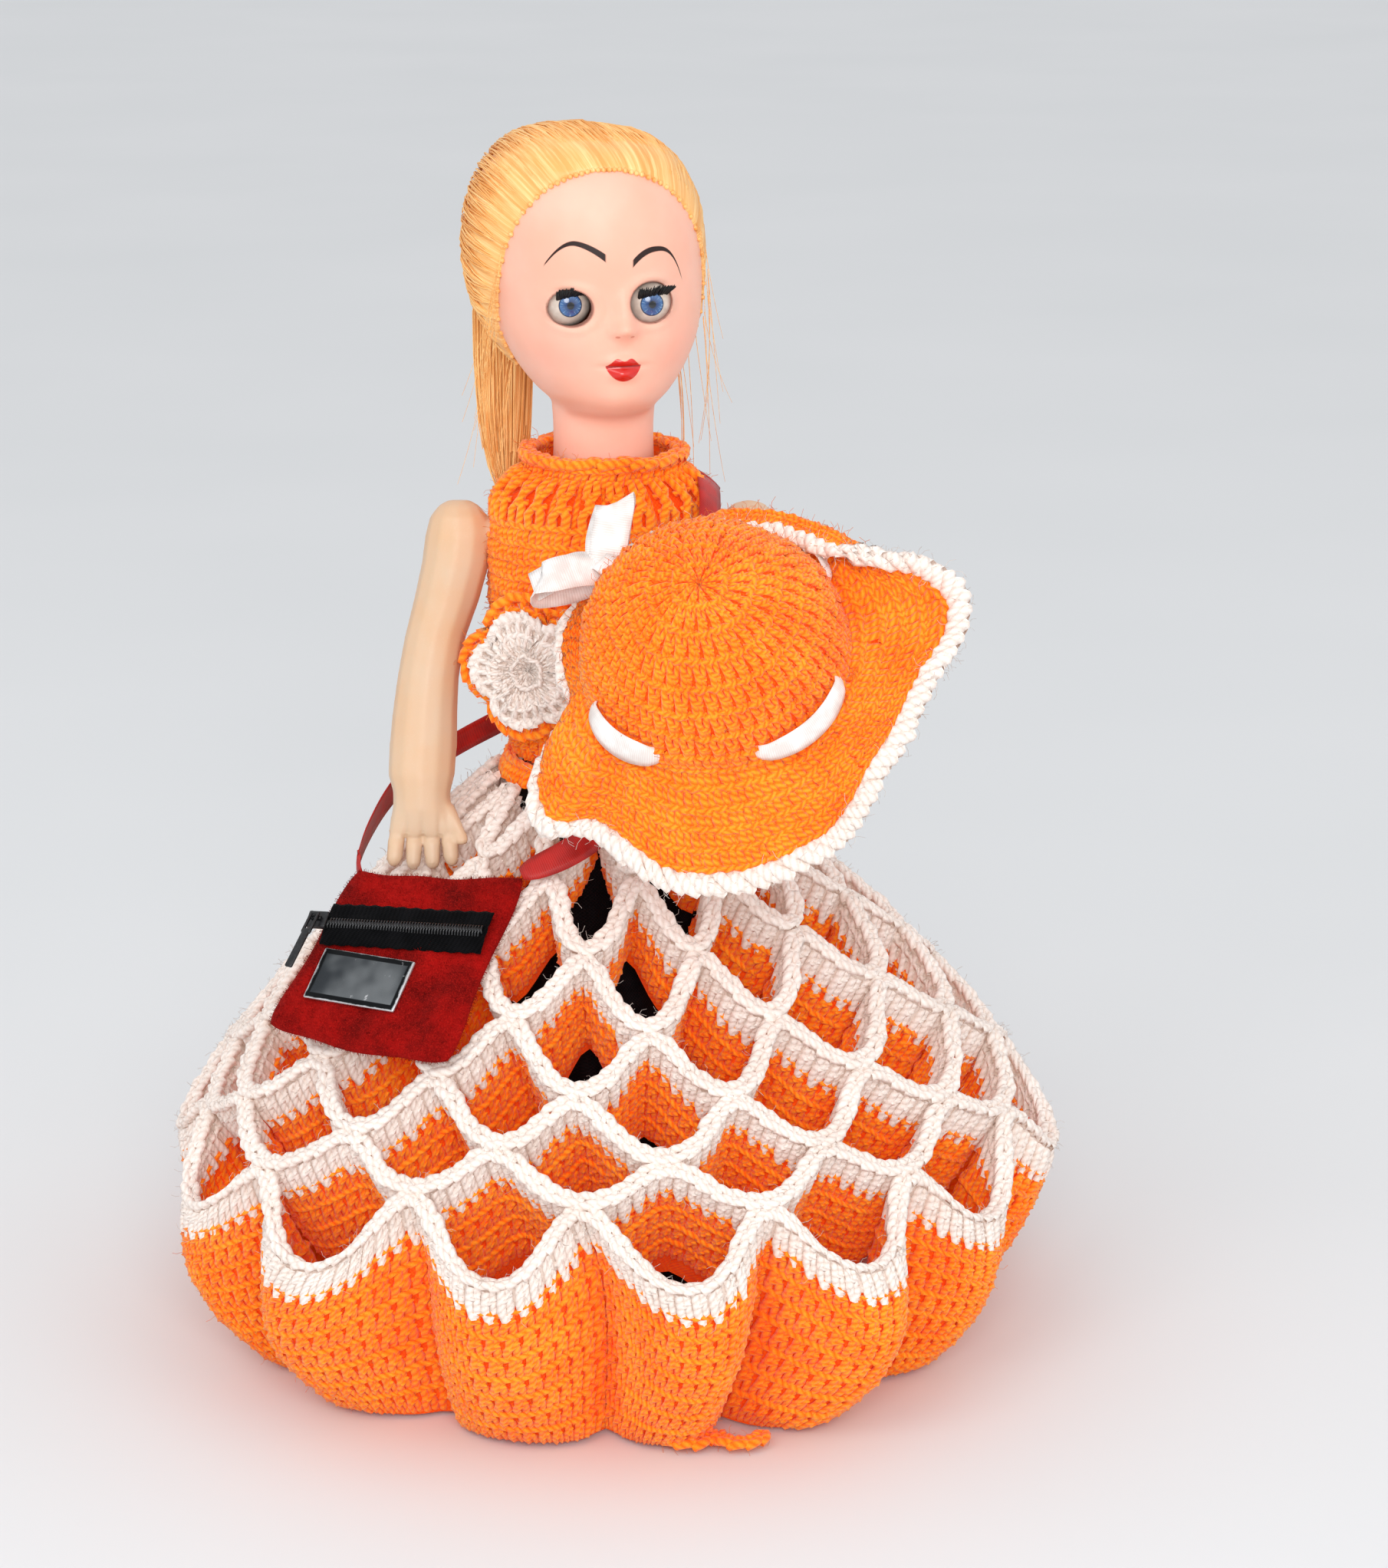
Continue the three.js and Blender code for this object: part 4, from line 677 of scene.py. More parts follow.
def skirt_piece(name, surface, length, depth, rows, under):
    around = length / MM
    columns = round(around / RIM_A_STITCH)
    seed = 100 * len(name) + rows
    backing = [cloth(lifted(surface, side), columns, 3, 0.01, 8.6 / depth) for side in (-0.6, 0.6)]
    spikes = knit(SPIKE, columns, 1, STITCH_WIDTH, STITCH_HEIGHT, surface, depth, 0.6, seed, uneven=0.22)
    top = joined([spikes, *backing])
    rim = knit(CHAIN, columns, 1, STITCH_WIDTH, STITCH_HEIGHT, surface, depth, 0.0, seed + 1, uneven=0.2)
    hairs = int(around / 0.9)
    pieces = [
        keep(name + "_white_row", fuzzy(top, hairs, 1.3, seed + 2), "figure", WHITE),
        keep(name + "_rim", fuzzy(rim, hairs, 1.4, seed + 3), "figure", WHITE),
    ]
    if rows:
        body = knit(TREBLE, columns, rows, STITCH_WIDTH, ROW_HEIGHT, surface, depth, WHITE_ROW, seed + 4)
        body = fuzzy(body, int(around * rows / 6), 1.3, seed + 5)
        pieces.append(keep(name + "_rows", body, "figure", ORANGE))
    ground = cloth(surface, columns, 8, 0.02, 1.0)
    sheet = keep(name + "_ground", ground, "figure", GROUND, name)
    area = area_of(ground)
    flat = (length, max(depth * MM, area / length))


skirt_piece("skirt_cup_band", *cup_surface(), CUP_ROWS, ["underskirt"])
below = "skirt_cup_band_ground"
for number in range(1, BANDS + 1):
    surface, length, depth = band_surface(number)
    rows = max(0, min(4, int((depth - WHITE_ROW) / ROW_HEIGHT)))
    skirt_piece("skirt_band_%d" % number, surface, length, depth, rows, [below])
    below = "skirt_band_%d_ground" % number


# Two loops of the hem's cord that peep out in front
LOOP_RADIUS = 7.5
LOOP_Y = -113


def loop_surface(middle):
    def at(s, t):
        angle = math.pi * s
        x = middle - LOOP_RADIUS * np.cos(angle)
        return np.stack([x, LOOP_Y - LOOP_RADIUS * np.sin(angle), 3.2 - 4 * t], axis=-1) * MM

    return at


loops = [knit(CHAIN, 5, 1, 5.0, 10.0, loop_surface(middle), 4.0, 0.0, middle) for middle in (28, 45)]
keep("skirt_hem_loops", fuzzy(joined(loops), 60, 1.3, 29), "figure", ORANGE)


# Waistband
def waist_surface(s, t):
    return ring(34.5 - 2.6 * t, 197.4 + 5.6 * t, 2 * math.pi * s)


waist = knit(HALF, 44, 1, 4.3, 5.6, lambda s, t: waist_surface(s, 1 - t), 5.6, seed=31, uneven=0.1)
keep("waistband_stitches", waist, "figure", ORANGE, "waistband")

# Underskirt: its radius by height, with the heights below zero so that they rise on the way down
LINING_TOP = 197.5
LINING_HEIGHT = 194.3
LINING = [(-197.5, 29.6), (-181.5, 37.6), (-154, 39.0), (-99.2, 53.5), (-3.0, 72.0)]


def lining_surface(s, t):
    z = LINING_TOP - LINING_HEIGHT * t
    radius = np.interp(-z, *zip(*LINING))
    folds = 1.6 * t * np.cos(18 * 2 * math.pi * s) + 1.0 * t * np.cos(31 * 2 * math.pi * s + 1.0)
    return ring(radius - 2.0 * t + folds, z, 2 * math.pi * s)


lining = cloth(lining_surface, 216, 40)
lining_sheet = keep("underskirt_cloth", lining, "figure", BLACK, "underskirt")


# Bodice: half widths and half depths of its middle by height, from the collar down
BODICE_TOP = -306.0
BODICE_HEIGHT = 102.6
BODICE = [
    (-306.0, 25.5, 25.0), (-301.0, 25.0, 24.0), (-296.0, 29.5, 24.8), (-290.0, 34.0, 25.6),
    (-282.4, 36.8, 26.2), (-261.5, 37.0, 28.0), (-231.5, 34.6, 26.4), (-213.0, 31.0, 24.6),
    (-203.4, 29.6, 23.8),
]


def bodice_surface(s, t):
    drop = BODICE_TOP + BODICE_HEIGHT * t
    wide, deep = keyed(BODICE, drop)
    angle = 2 * math.pi * s
    return np.stack([wide * np.sin(angle), -deep * np.cos(angle), -drop], axis=-1) * MM


BODICE_LENGTH = 106.0
bodice_parts = [
    knit(CHAIN, 32, 1, 5.0, 10.0, bodice_surface, BODICE_LENGTH, 0.6, seed=42, uneven=0.4),
    knit(HALF, 36, 1, 4.3, 5.0, bodice_surface, BODICE_LENGTH, 1.0, seed=41, uneven=0.3),
    knit(RIB, 24, 1, 7.2, 16.6, bodice_surface, BODICE_LENGTH, 5.6, seed=43, uneven=0.25),
    knit(HALF, 44, 4, 4.3, 6.0, bodice_surface, BODICE_LENGTH, 21.8, seed=44, uneven=0.2),
    knit(TREBLE, 40, 7, 5.0, 8.5, bodice_surface, BODICE_LENGTH, 45.6, seed=45, uneven=0.2),
]
bodice_knit = fuzzy(joined(bodice_parts), 4200, 1.4, 46)
bodice_stitches = keep("bodice_stitches", bodice_knit, "figure", ORANGE)
bodice_ground = cloth(lifted(bodice_surface, -0.5), 96, 40, 0.02, 1.0)
bodice = keep("bodice_ground", bodice_ground, "figure", GROUND, "bodice")


# Flower: two layers of five petals on the waist
FLOWER = moved(-23.5, -26.3, 238) @ turned(-18, "Z")


def flower_layer(name, radius, front, finish, node, seed):
    def petals(s, t):
        angle = 2 * math.pi * s + 0.3
        reach = radius * t * (0.74 + 0.26 * np.abs(np.cos(2.5 * angle)) ** 0.7)
        rise = front + 3.4 * np.sin(math.pi * np.clip(t, 0, 1) ** 1.4) - 1.2 * t
        return np.stack([-reach * np.cos(angle), -rise, reach * np.sin(angle)], axis=-1) * MM

    parts = [
        knit(HALF, 8, 1, 4.3, 6.4, petals, radius, 0.0, seed + 1, True),
        knit(TREBLE, 20, 1, 5.0, 9.6, petals, radius, 0.2 * radius, seed + 4, True),
        knit(SPIKE, 26, 1, 5.0, 10.0, petals, radius, 0.55 * radius, seed, True),
        knit(CHAIN, 26, 1, 5.0, 10.0, petals, radius, 0.98 * radius, seed + 2),
    ]
    backing = cloth(lifted(petals, 0.6), 60, 10, 0.0, 0.97)
    mesh = fuzzy(joined([*parts, backing]), 900, 1.4, seed + 3)
    keep(name, mesh, "figure", finish, node, place=FLOWER)


flower_layer("flower_orange_petals", 25.0, -2.2, ORANGE, "flower_orange", 51)
flower_layer("flower_white_petals", 19.5, 2.6, WHITE, "flower_white", 55)


# Hat: radius and drop down its crown, and its brim by the angle round the axis: reach and lift of the edge
# from the crown's foot, then of the point that the brim swells towards on the way
HAT_TURN = Vector((0, 0, 1)).rotation_difference(Vector((-0.12, -0.7, 0.705)))
HAT = moved(31.6, -122.7, 288.9) @ HAT_TURN.to_matrix().to_4x4()
CROWN = [(0, 0), (6.6, 0.4), (20.5, 5.5), (32.8, 16.8), (39, 30.2), (41, 42)]
BRIM = [
    (0, 33.5, 0, 16, -8), (10, 34.5, 5, 18, -8), (20, 23, 11, 21, 0), (30, 14, 16, 19, 3),
    (57, 9.5, 13, 14, 1), (74, 7, 10, 11, 0), (92, 5, 2, 6, -2), (110, 6, -3, 5, -3),
    (150, 8, -4, 6, -1), (172, 7, -6, 6, -3), (187, 5, -12, 5, -7), (201, 20, -19, 19, -13),
    (216, 29, -20, 18, -13), (228, 20, -18, 11, -12), (260, 27, -20, 13, -13), (295, 26, -15, 13, -11),
    (322, 20, -8, 12, -6), (345, 23.5, -3, 13, -6),
]
brim_keys = [(k[0] + turn, *k[1:]) for turn in (-360, 0, 360) for k in BRIM]
brim_line = curve(brim_keys, 60 * len(brim_keys))
crown_line = curve(CROWN, 300)
crown_ways = np.concatenate([[0], np.cumsum(np.linalg.norm(np.diff(crown_line, axis=0), axis=1))])
CROWN_LENGTH = crown_ways[-1]
BRIM_LENGTH = 33.0
ROLL_FROM = 0.45
ROLL_RADIUS = 4.2
HAT_LENGTH = CROWN_LENGTH + BRIM_LENGTH


def hat_surface(s, t):
    angle = 2 * math.pi * s
    way = t * HAT_LENGTH
    waves = 0.7 * np.sin(3 * angle + 1) + 0.5 * np.sin(5 * angle)
    dents = np.interp(way, [0, 30, CROWN_LENGTH], [0, 1, 0]) * waves
    radius = np.interp(way, crown_ways, crown_line[:, 0]) + dents
    height = -np.interp(way, crown_ways, crown_line[:, 1]) + dents
    degrees = np.degrees(angle) % 360
    reach, lift, swell_reach, swell_lift = [np.interp(degrees, brim_line[:, 0], c) for c in brim_line.T[1:]]
    out = np.maximum(0, (way - CROWN_LENGTH) / BRIM_LENGTH)
    on = np.minimum(out, 1)
    beyond = (out - on) * BRIM_LENGTH
    edge = np.hypot(reach - swell_reach, lift - swell_lift)
    swell = 2 * on * (1 - on)
    ripple = 0.9 * on * np.sin(9 * angle + 2) + 0.6 * on * np.sin(14 * angle)
    radius = radius + swell * swell_reach + on**2 * reach + beyond * (reach - swell_reach) / edge
    height = height + swell * swell_lift + on**2 * lift + beyond * (lift - swell_lift) / edge + ripple
    roll = np.interp(degrees, [18, 34, 80, 104], [0, 1, 1, 0]) * (out > ROLL_FROM)
    swell = 2 * ROLL_FROM * (1 - ROLL_FROM)
    ahead = np.stack([reach, lift], axis=-1) * 2 * ROLL_FROM
    ahead = unit(ahead + np.stack([swell_reach, swell_lift], axis=-1) * (2 - 4 * ROLL_FROM))
    bend = np.maximum(0, out - ROLL_FROM) * 22 / ROLL_RADIUS
    along = ROLL_RADIUS * np.sin(bend)
    aside = ROLL_RADIUS * (1 - np.cos(bend))
    rolled = CROWN[-1][0] + swell * swell_reach + ROLL_FROM**2 * reach
    rolled = rolled + along * ahead[:, 0] - aside * ahead[:, 1]
    radius = radius + roll * (rolled - radius)
    rolled = ripple + swell * swell_lift + ROLL_FROM**2 * lift + along * ahead[:, 1] + aside * ahead[:, 0]
    height = height + roll * (rolled - CROWN[-1][1] - height)
    return np.stack([radius * np.cos(angle), radius * np.sin(angle), height], axis=-1) * MM


def hat_underside(s, t):
    return hat_surface(-s, t)


hat_parts = []
rounds = [(8.6, TREBLE, 5.0)] * 7 + [(6.6, HALF, 4.3)] * 6
start = 0.0
for k, (high, kind, wide) in enumerate(rounds):
    radius = np.interp(start + high, crown_ways, crown_line[:, 0]) + max(0, start - CROWN_LENGTH) * 0.8
    radius = min(radius, 68)
    columns = max(7, round(2 * math.pi * radius / 4.7))
    if start + high < HAT_LENGTH + 2:
        outside = knit(kind, columns, 1, wide, high, hat_surface, HAT_LENGTH, start, 60 + k, True, 0.22)
        hat_parts.append(outside)
    if k > 7:
        under = knit(kind, columns, 1, wide, high, hat_underside, HAT_LENGTH, start, 70 + k, False, 0.22)
        hat_parts.append(under)
    start += high - 0.3
hat_knit = fuzzy(joined(hat_parts), 6000, 1.5, 79)
hat_stitches = keep("hat_stitches", hat_knit, "hat", ORANGE, place=HAT)
hat_ground = cloth(lifted(hat_surface, 0.3), 180, 44)
hat = keep("hat_ground", hat_ground, "hat", GROUND, "hat", place=HAT)
hat_side = 2 * math.sqrt(area_of(hat_ground) / math.pi)
TWIST_STEP = 4.2
edge_angle, edge_length = even(lambda azimuth: hat_surface(azimuth / (2 * math.pi), np.ones(len(azimuth))))
edging = knit(
    TWIST, round(edge_length / MM / TWIST_STEP), 1, TWIST_STEP, 5.0,
    lambda s, t: hat_surface(edge_angle(s) / (2 * math.pi), t), HAT_LENGTH, HAT_LENGTH + 1.6, 81, False, 0.35,
)
lip = [cloth(lifted(hat_surface, side), 240, 3, 0.975, 1.03) for side in (-1, 1)]
edging = fuzzy(joined([edging, *lip]), 1800, 1.5, 82)
keep("hat_edging_cord", edging, "hat", WHITE, "hat_edging", place=HAT)


# Ribbons: strips along a route, with the way that their flat side faces
SATIN_THICKNESS = 0.35


def ribbon(route, facing, width, steps, hollow=0.0, narrow=0.0, taper=0.0):
    bm = bmesh.new()
    bmesh.ops.create_grid(bm, x_segments=steps, y_segments=4, size=1, calc_uvs=True)
    uv = bm.loops.layers.uv.verify()
    line = curve(route, steps + 1)
    length = np.linalg.norm(np.diff(line, axis=0), axis=1).sum()
    for face in bm.faces:
        for loop in face.loops:
            loop[uv].uv = (loop.vert.co.x * length / 2, loop.vert.co.y)
    along = unit(np.gradient(line, axis=0))
    across = unit(np.cross(along, curve(facing, steps + 1)))
    lift = unit(np.cross(across, along))
    mesh = baked(bm)
    points = read(mesh)
    k = np.rint((points[:, 0] + 1) / 2 * steps).astype(int)
    side = points[:, 1:2]
    way = points[:, 0:1]
    half = width / 2 * (1 - narrow * np.abs(way) ** 3 - taper * np.clip(way, 0, 1) ** 26)
    write(mesh, (line[k] + across[k] * side * half + lift[k] * hollow * (1 - side**2)) * MM)
    return evaluated(mesh, ("SOLIDIFY", {"thickness": SATIN_THICKNESS * MM, "offset": 0.0}))


FRONT_ROUTE = [
    (34.5, 0.2, 296), (35, -9, 294.6), (35, -20.5, 288), (32, -28.5, 273), (26.5, -33, 254),
    (20.5, -34, 234), (14, -35, 216), (8, -44, 203), (0, -54, 192), (-11, -60.6, 185), (-26.2, -63.5, 178.7),
]
BACK_ROUTE = [
    (34.5, 1.8, 296), (35, 10, 293.6), (33, 20, 285), (27, 28, 268), (15, 32, 249), (-5, 31, 228),
    (-28, 32, 210), (-50, 26, 199), (-66, 13, 192), (-74, -2, 186), (-79.5, -20, 179), (-81.5, -34.2, 174.2),
    (-80.2, -37.4, 174.4),
]
for name, route in (("bag_strap_front", FRONT_ROUTE), ("bag_strap_back", BACK_ROUTE)):
    twist = 5 if route is FRONT_ROUTE else 0
    facing = [(x, y, max(0, z - 278) * 2.5 + max(0, 192 - z) * twist) for x, y, z in route]
    strap = ribbon(route, facing, 9.5, 70, 0.5, taper=0.5)
    keep(name + "_satin", strap, "figure", RED_SATIN, name)

lacing = []
for low, high, wide in ((200, 247, 9.5), (282, 342, 8.0), (26, 54, 7.0), (70, 108, 6.5)):
    angles = np.radians(np.linspace(low, high, 9))
    swell = np.sin(np.linspace(0, math.pi, 9)) ** 0.4
    radius = 38.0 + 7.0 * swell
    route = np.stack([radius * np.cos(angles), radius * np.sin(angles), -34.5 - 2.5 * (1 - swell)], axis=-1)
    facing = np.stack([np.cos(angles), np.sin(angles), np.full(9, 0.5)], axis=-1)
    lacing.append(ribbon(route, facing, wide, 20, 0.7, 0.7))
keep("hat_ribbon_lacing", joined(lacing), "hat", WHITE_SATIN, "hat_ribbon", place=HAT)

bow_way = HAT.to_3x3().inverted() @ Vector((-0.75, 0.3, 0.59))
bow_way.z = 0
bow_way.normalize()
bow_side = Vector((-bow_way.y, bow_way.x, 0))


BOW_RADIUS = 45.0
BOW_HEIGHT = -35


def bow_point(out, across, up):
    return bow_way * (BOW_RADIUS + out) + bow_side * across + Vector((0, 0, BOW_HEIGHT + up))


def bow_strip(points, facing, width):
    ways = [bow_point(*f) - bow_point(0, 0, 0) for f in facing]
    return ribbon([bow_point(*p) for p in points], ways, width, 24)


bow_parts = []
for side in (-1, 1):
    loop = [
        (0, 0, 0), (4, 8 * side, 7), (9, 17 * side, 9), (11, 19 * side, 3), (6, 10 * side, -1), (0.4, 0, 0),
    ]
    ways = [(0, 0, 1), (-1, -1.5 * side, 2), (3, 2 * side, 0), (1, 1.5 * side, -2)]
    bow_parts.append(bow_strip(loop, ways, 12.0))
    tail = [(0.5, 0, 0), (5, 5 * side, 4.5), (9, 11 * side, 4.0), (14, 19 * side, 1.0)]
    bow_parts.append(bow_strip(tail, [(0, 0, 1), (0.2, 0.3 * side, 1)], 11.0))
knot = [(-2.5, 0, -4), (1.5, 0, -4.4), (3.0, 0, 0), (1.5, 0, 4.4), (-2.5, 0, 4)]
bow_parts.append(bow_strip(knot, [(-0.5, 0, -1), (1, 0, 0), (-0.5, 0, 1)], 7.0))
keep("hat_bow_ribbon", joined(bow_parts), "hat", WHITE_SATIN, "hat_bow", place=HAT)


# Arms: the solid limbs with their facets smoothed away, and the hands' sizes in the arm's own frame
HAND_X = 11.6
HAND_Y = -12.8
KNUCKLES = 99.0
FINGER_STEP = 5.67
SHOULDER_X = 48.3
SHOULDER_Z = 278


def smoothed(node, voxel, passes):
    bm = opened(bpy.data.objects[node].data)
    bmesh.ops.remove_doubles(bm, verts=bm.verts, dist=0.001 * MM)
    source = baked(bm)
    made = evaluated(
        source,
        ("REMESH", {"mode": "VOXEL", "voxel_size": voxel * MM}),
        ("SMOOTH", {"factor": 0.5, "iterations": passes}),
    )
    made.shade_smooth()
    return made


def hand(mesh, shoulder, side):
    """Full fingers on a smoothed arm, with grooves that run up between the knuckles."""
    mesh.transform(shoulder.inverted())
    points = read(mesh) / MM
    low = -points[:, 2]
    across = side * points[:, 0] - HAND_X
    fingers = np.clip((low - KNUCKLES) / 3, 0, 1)
    palm = np.clip((low - KNUCKLES + 8) / 8, 0, 1) * np.clip((KNUCKLES + 4 - low) / 3, 0, 1)
    points[:, 1] = HAND_Y + (points[:, 1] - HAND_Y) * (1 - 0.3 * palm)
    gap = across - FINGER_STEP * np.rint(across / FINGER_STEP)
    groove = np.exp(-((gap / 0.9) ** 2)) * (np.abs(across) < 1.5 * FINGER_STEP) * palm
    points += read(mesh, "normal") * (0.75 * fingers - 0.9 * groove)[:, None]
    write(mesh, points * MM)
    mesh.transform(shoulder)
    return mesh


for name, side, raised in (("right_arm", -1, 12), ("left_arm", 1, 71)):
    shoulder = moved(SHOULDER_X * side, 0, SHOULDER_Z) @ turned(-raised, "X")
    mesh = hand(smoothed(name, 0.7, 14), shoulder, side)
    keep(name + "_skin", mesh, name, LIMB, name)
for node in ("torso", "right_leg", "left_leg"):
    painted(bpy.data.objects[node].data, LIMB)
for node in ("hip_axle", "right_eye_axle", "left_eye_axle", "right_eye_weight", "left_eye_weight"):
    painted(bpy.data.objects[node].data, WIRE)


# Head: rise, half width, depth of the face and depth of the skull, in its own turned frame; it leans aside
HEAD = Matrix.Translation((0, 0, 0.3)) @ turned(13, "Z")
HEAD_ROWS = [
    (-0.5, 16.8, 16.8, 16.8), (12, 16.5, 16.5, 16.5), (20, 16.8, 18.3, 16.8), (24, 17.4, 28.1, 18.4),
    (29.2, 22.3, 33.3, 22.4), (37, 27.8, 35.3, 28), (47.4, 32.4, 36.4, 33.6), (60.3, 34.5, 35.9, 38),
    (75.9, 34.8, 37, 40), (88.9, 32.7, 35.2, 38.8), (99.3, 27.5, 30.3, 33.2), (106.2, 18.8, 20.7, 22.8),
    (110.5, 0.5, 0.5, 0.5),
]
EYE_RADIUS = 8.0
EYES = {"right": Vector((-17.08, -24.4, 60)), "left": Vector((8.92, -27.8, 60))}
OPENINGS = {"right": (-17.3, 59.2, 6.9, 5.9), "left": (8.8, 60.5, 7.1, 6.6)}


def head_points(ways, angles, extra=0.0):
    """Head skin in millimetres at shares of the way up and angles from the face's middle."""
    wide, front, back = keyed(HEAD_ROWS, ways)
    deep = np.where(np.cos(angles) > 0, front, back) + extra
    lean = -0.052 * np.maximum(0, ways - 20)
    x = (wide + extra) * np.sin(angles) + lean
    return np.stack([x, -deep * np.cos(angles), ways + extra * (ways > 100)], axis=-1)


def hump(points, centre, size):
    """A soft bump on the face about a place in X and rise."""
    gone = ((points[:, 0] - centre[0]) / size[0]) ** 2 + ((points[:, 2] - centre[1]) / size[1]) ** 2
    return np.exp(-gone) * (points[:, 1] < 0)


def head_skin(extra=0.0, features=True):
    bm = bmesh.new()
    bmesh.ops.create_uvsphere(bm, u_segments=144, v_segments=150, radius=1)
    mesh = baked(bm)
    points = read(mesh)
    angles = np.arctan2(points[:, 0], -points[:, 1])
    ways = -0.5 + 111 * (np.arcsin(np.clip(points[:, 2], -1, 1)) / math.pi + 0.5)
    skin = head_points(ways, angles, extra)
    if features:
        out = 4.6 * hump(skin, (-0.5, 52.6), (3.3, 3.2)) + 2.2 * hump(skin, (-0.7, 58), (2.8, 6.0))
        out += 2.0 * hump(skin, (-0.65, 42.2), (5.0, 1.5)) + 2.3 * hump(skin, (-0.65, 37.8), (4.2, 2.0))
        out -= 1.2 * hump(skin, (-0.65, 40.4), (6.4, 0.55)) + 0.5 * hump(skin, (-0.6, 46.2), (1.2, 2.0))
        out += 1.6 * hump(skin, (-0.4, 28.5), (7, 5))
        for side in (-1, 1):
            out += 1.3 * hump(skin, (-0.5 + 3.2 * side, 51.6), (1.6, 1.6))
            out += 1.2 * hump(skin, (-1 + 17 * side, 46), (9, 8))
        skin[:, 1] -= out
        for eye, (x, rise, wide, high) in zip(EYES.values(), OPENINGS.values()):
            off = np.hypot((skin[:, 0] - x) / wide, (skin[:, 2] - rise) / high)
            lid = (EYE_RADIUS + 0.7) ** 2 - (skin[:, 0] - eye.x) ** 2 - (skin[:, 2] - eye.z) ** 2
            over_ball = eye.y - np.sqrt(np.maximum(0, lid)) + 0.02 * np.maximum(0, -lid)
            near = (skin[:, 1] < 0) & (off < 1.6)
            skin[:, 1] = np.where(near, np.minimum(skin[:, 1], over_ball), skin[:, 1])
            skin[:, 1] -= 0.7 * np.exp(-(((off - 1.25) / 0.2) ** 2)) * near
        ear = np.exp(-(((skin[:, 1] - 3) / 4.2) ** 4) - ((skin[:, 2] - 55) / 7.6) ** 4)
        cup = np.exp(-(((skin[:, 1] - 2.2) / 2.0) ** 2) - ((skin[:, 2] - 55.5) / 4.0) ** 2)
        skin[:, 0] += np.sign(skin[:, 0]) * (2.9 * ear - 1.8 * cup) * (np.abs(skin[:, 0]) > 20)
    write(mesh, skin * MM)
    return opened(mesh)


def eye_openings(bm):
    """Almond openings for the eyes, with a rim turned inwards."""
    for x, rise, wide, high in OPENINGS.values():
        centre = Vector((x, rise)) * MM
        half = Vector((wide, high)) * MM

        def reach(vert):
            return math.hypot((vert.co.x - centre.x) / half.x, (vert.co.z - centre.y) / half.y)

        inside = [
            f for f in bm.faces
            if f.calc_center_median().y < 0 and max(reach(v) for v in f.verts) < 1.0
        ]
        bmesh.ops.delete(bm, geom=inside, context="FACES")
        rim = [
            e for e in bm.edges
            if e.is_boundary and e.verts[0].co.y < 0 and max(reach(v) for v in e.verts) < 1.3
        ]
        for vert in {v for e in rim for v in e.verts}:
            share = 1.0 / reach(vert)
            vert.co.x = centre.x + (vert.co.x - centre.x) * share
            vert.co.z = centre.y + (vert.co.z - centre.y) * share
        inner = bmesh.ops.extrude_edge_only(bm, edges=rim)["geom"]
        bmesh.ops.translate(bm, vec=(0, 2.6 * MM, 0), verts=verts_of(inner))


def face_paint():
    f = Finish("face_vinyl", Subsurface_Weight=0.18, Subsurface_Scale=0.005, Specular_IOR_Level=0.4)
    f.set(Subsurface_Radius=(1.0, 0.4, 0.25))
    x, y, z = (axis * 1000.0 for axis in f.axes(f.local(HEAD)))
    front = f.ease(y, 0.0, -8.0)
    cloud = f.noise(45, 3.0)
    grain = f.noise(1400, 2.0)
    skin = f.mix(f.ease(cloud, 0.3, 0.7), rgb(243, 180, 156), rgb(247, 190, 168))
    cheek = ((abs(x + 1.0) - 19.0) / 9.0) ** 2.0 + ((z - 46.0) / 8.0) ** 2.0
    skin = f.mix((1.0 - f.ease(cheek, 0.0, 1.6)) * front * 0.22, skin, rgb(250, 160, 140))
    # each brow: where its peak is, how it falls off to both sides, its inner and outer end
    brows = (
        (-16.3, 80.2, (0.1105, 1.95), (0.125, 1.59), -6.5, -25.0),
        (10.6, 77.6, (0.0428, 2.18), (0.02345, 2.69), 2.4, 20.4),
    )
    for peak, rise, (left, left_power), (right, right_power), inner, outer in brows:
        before = (peak - x).math("MAXIMUM", 0.0) ** left_power * left
        after = (x - peak).math("MAXIMUM", 0.0) ** right_power * right
        way = (x - inner) / (outer - inner)
        half = 1.3 - way * 0.95
        on = f.ease(way, -0.02, 0.02) * f.ease(way, 1.02, 0.96) * front
        brow = f.ease(abs(z - (rise - before - after)), half + 0.15, half - 0.2) * on
        skin = f.mix(brow, skin, rgb(38, 16, 11))
    # A dark ring just round each eye opening: painted shade at the socket's rim.
    for middle, rise, wide, high in OPENINGS.values():
        off = (((x - middle) / wide) ** 2.0 + ((z - rise) / high) ** 2.0) ** 0.5
        skin = f.mix(f.ease(off, 1.1, 1.0) * front * 0.75, skin, rgb(120, 66, 54))
    x = abs(x + 0.65)
    bow_edge = f.ease(x, 0.0, 2.3) * 0.7 - f.ease(x, 2.3, 5.9) * 2.5 + 42.6
    foot = 40.6 - 5.3 * (1.0 - (x / 5.9) ** 2.0).math("MAXIMUM", 0.0) ** 0.7
    lips = f.ease(z, bow_edge, bow_edge - 0.4) * f.ease(z, foot, foot + 0.4) * f.ease(x, 5.95, 5.6) * front
    parting = f.ease(abs(z - 40.4), 0.45, 0.1) * f.ease(x, 6.2, 5.2) * front
    colour = f.mix(lips, skin, rgb(208, 27, 14))
    colour = f.mix(parting * 0.7, colour, rgb(120, 14, 14))
    # Darker nostrils: painted shade.
    nostril = f.ease(((x - 2.4) / 0.9) ** 2.0 + ((z - 50.3) / 0.5) ** 2.0, 1.0, 0.3) * front
    f.set(
        Base_Color=f.mix(nostril * 0.55, colour, rgb(196, 84, 62)),
        Roughness=0.4 + cloud * 0.1 - lips * 0.2,
        Coat_Weight=lips * 0.6,
        Normal=f.bump(grain, 0.05 * MM, 0.35),
    )
    return f


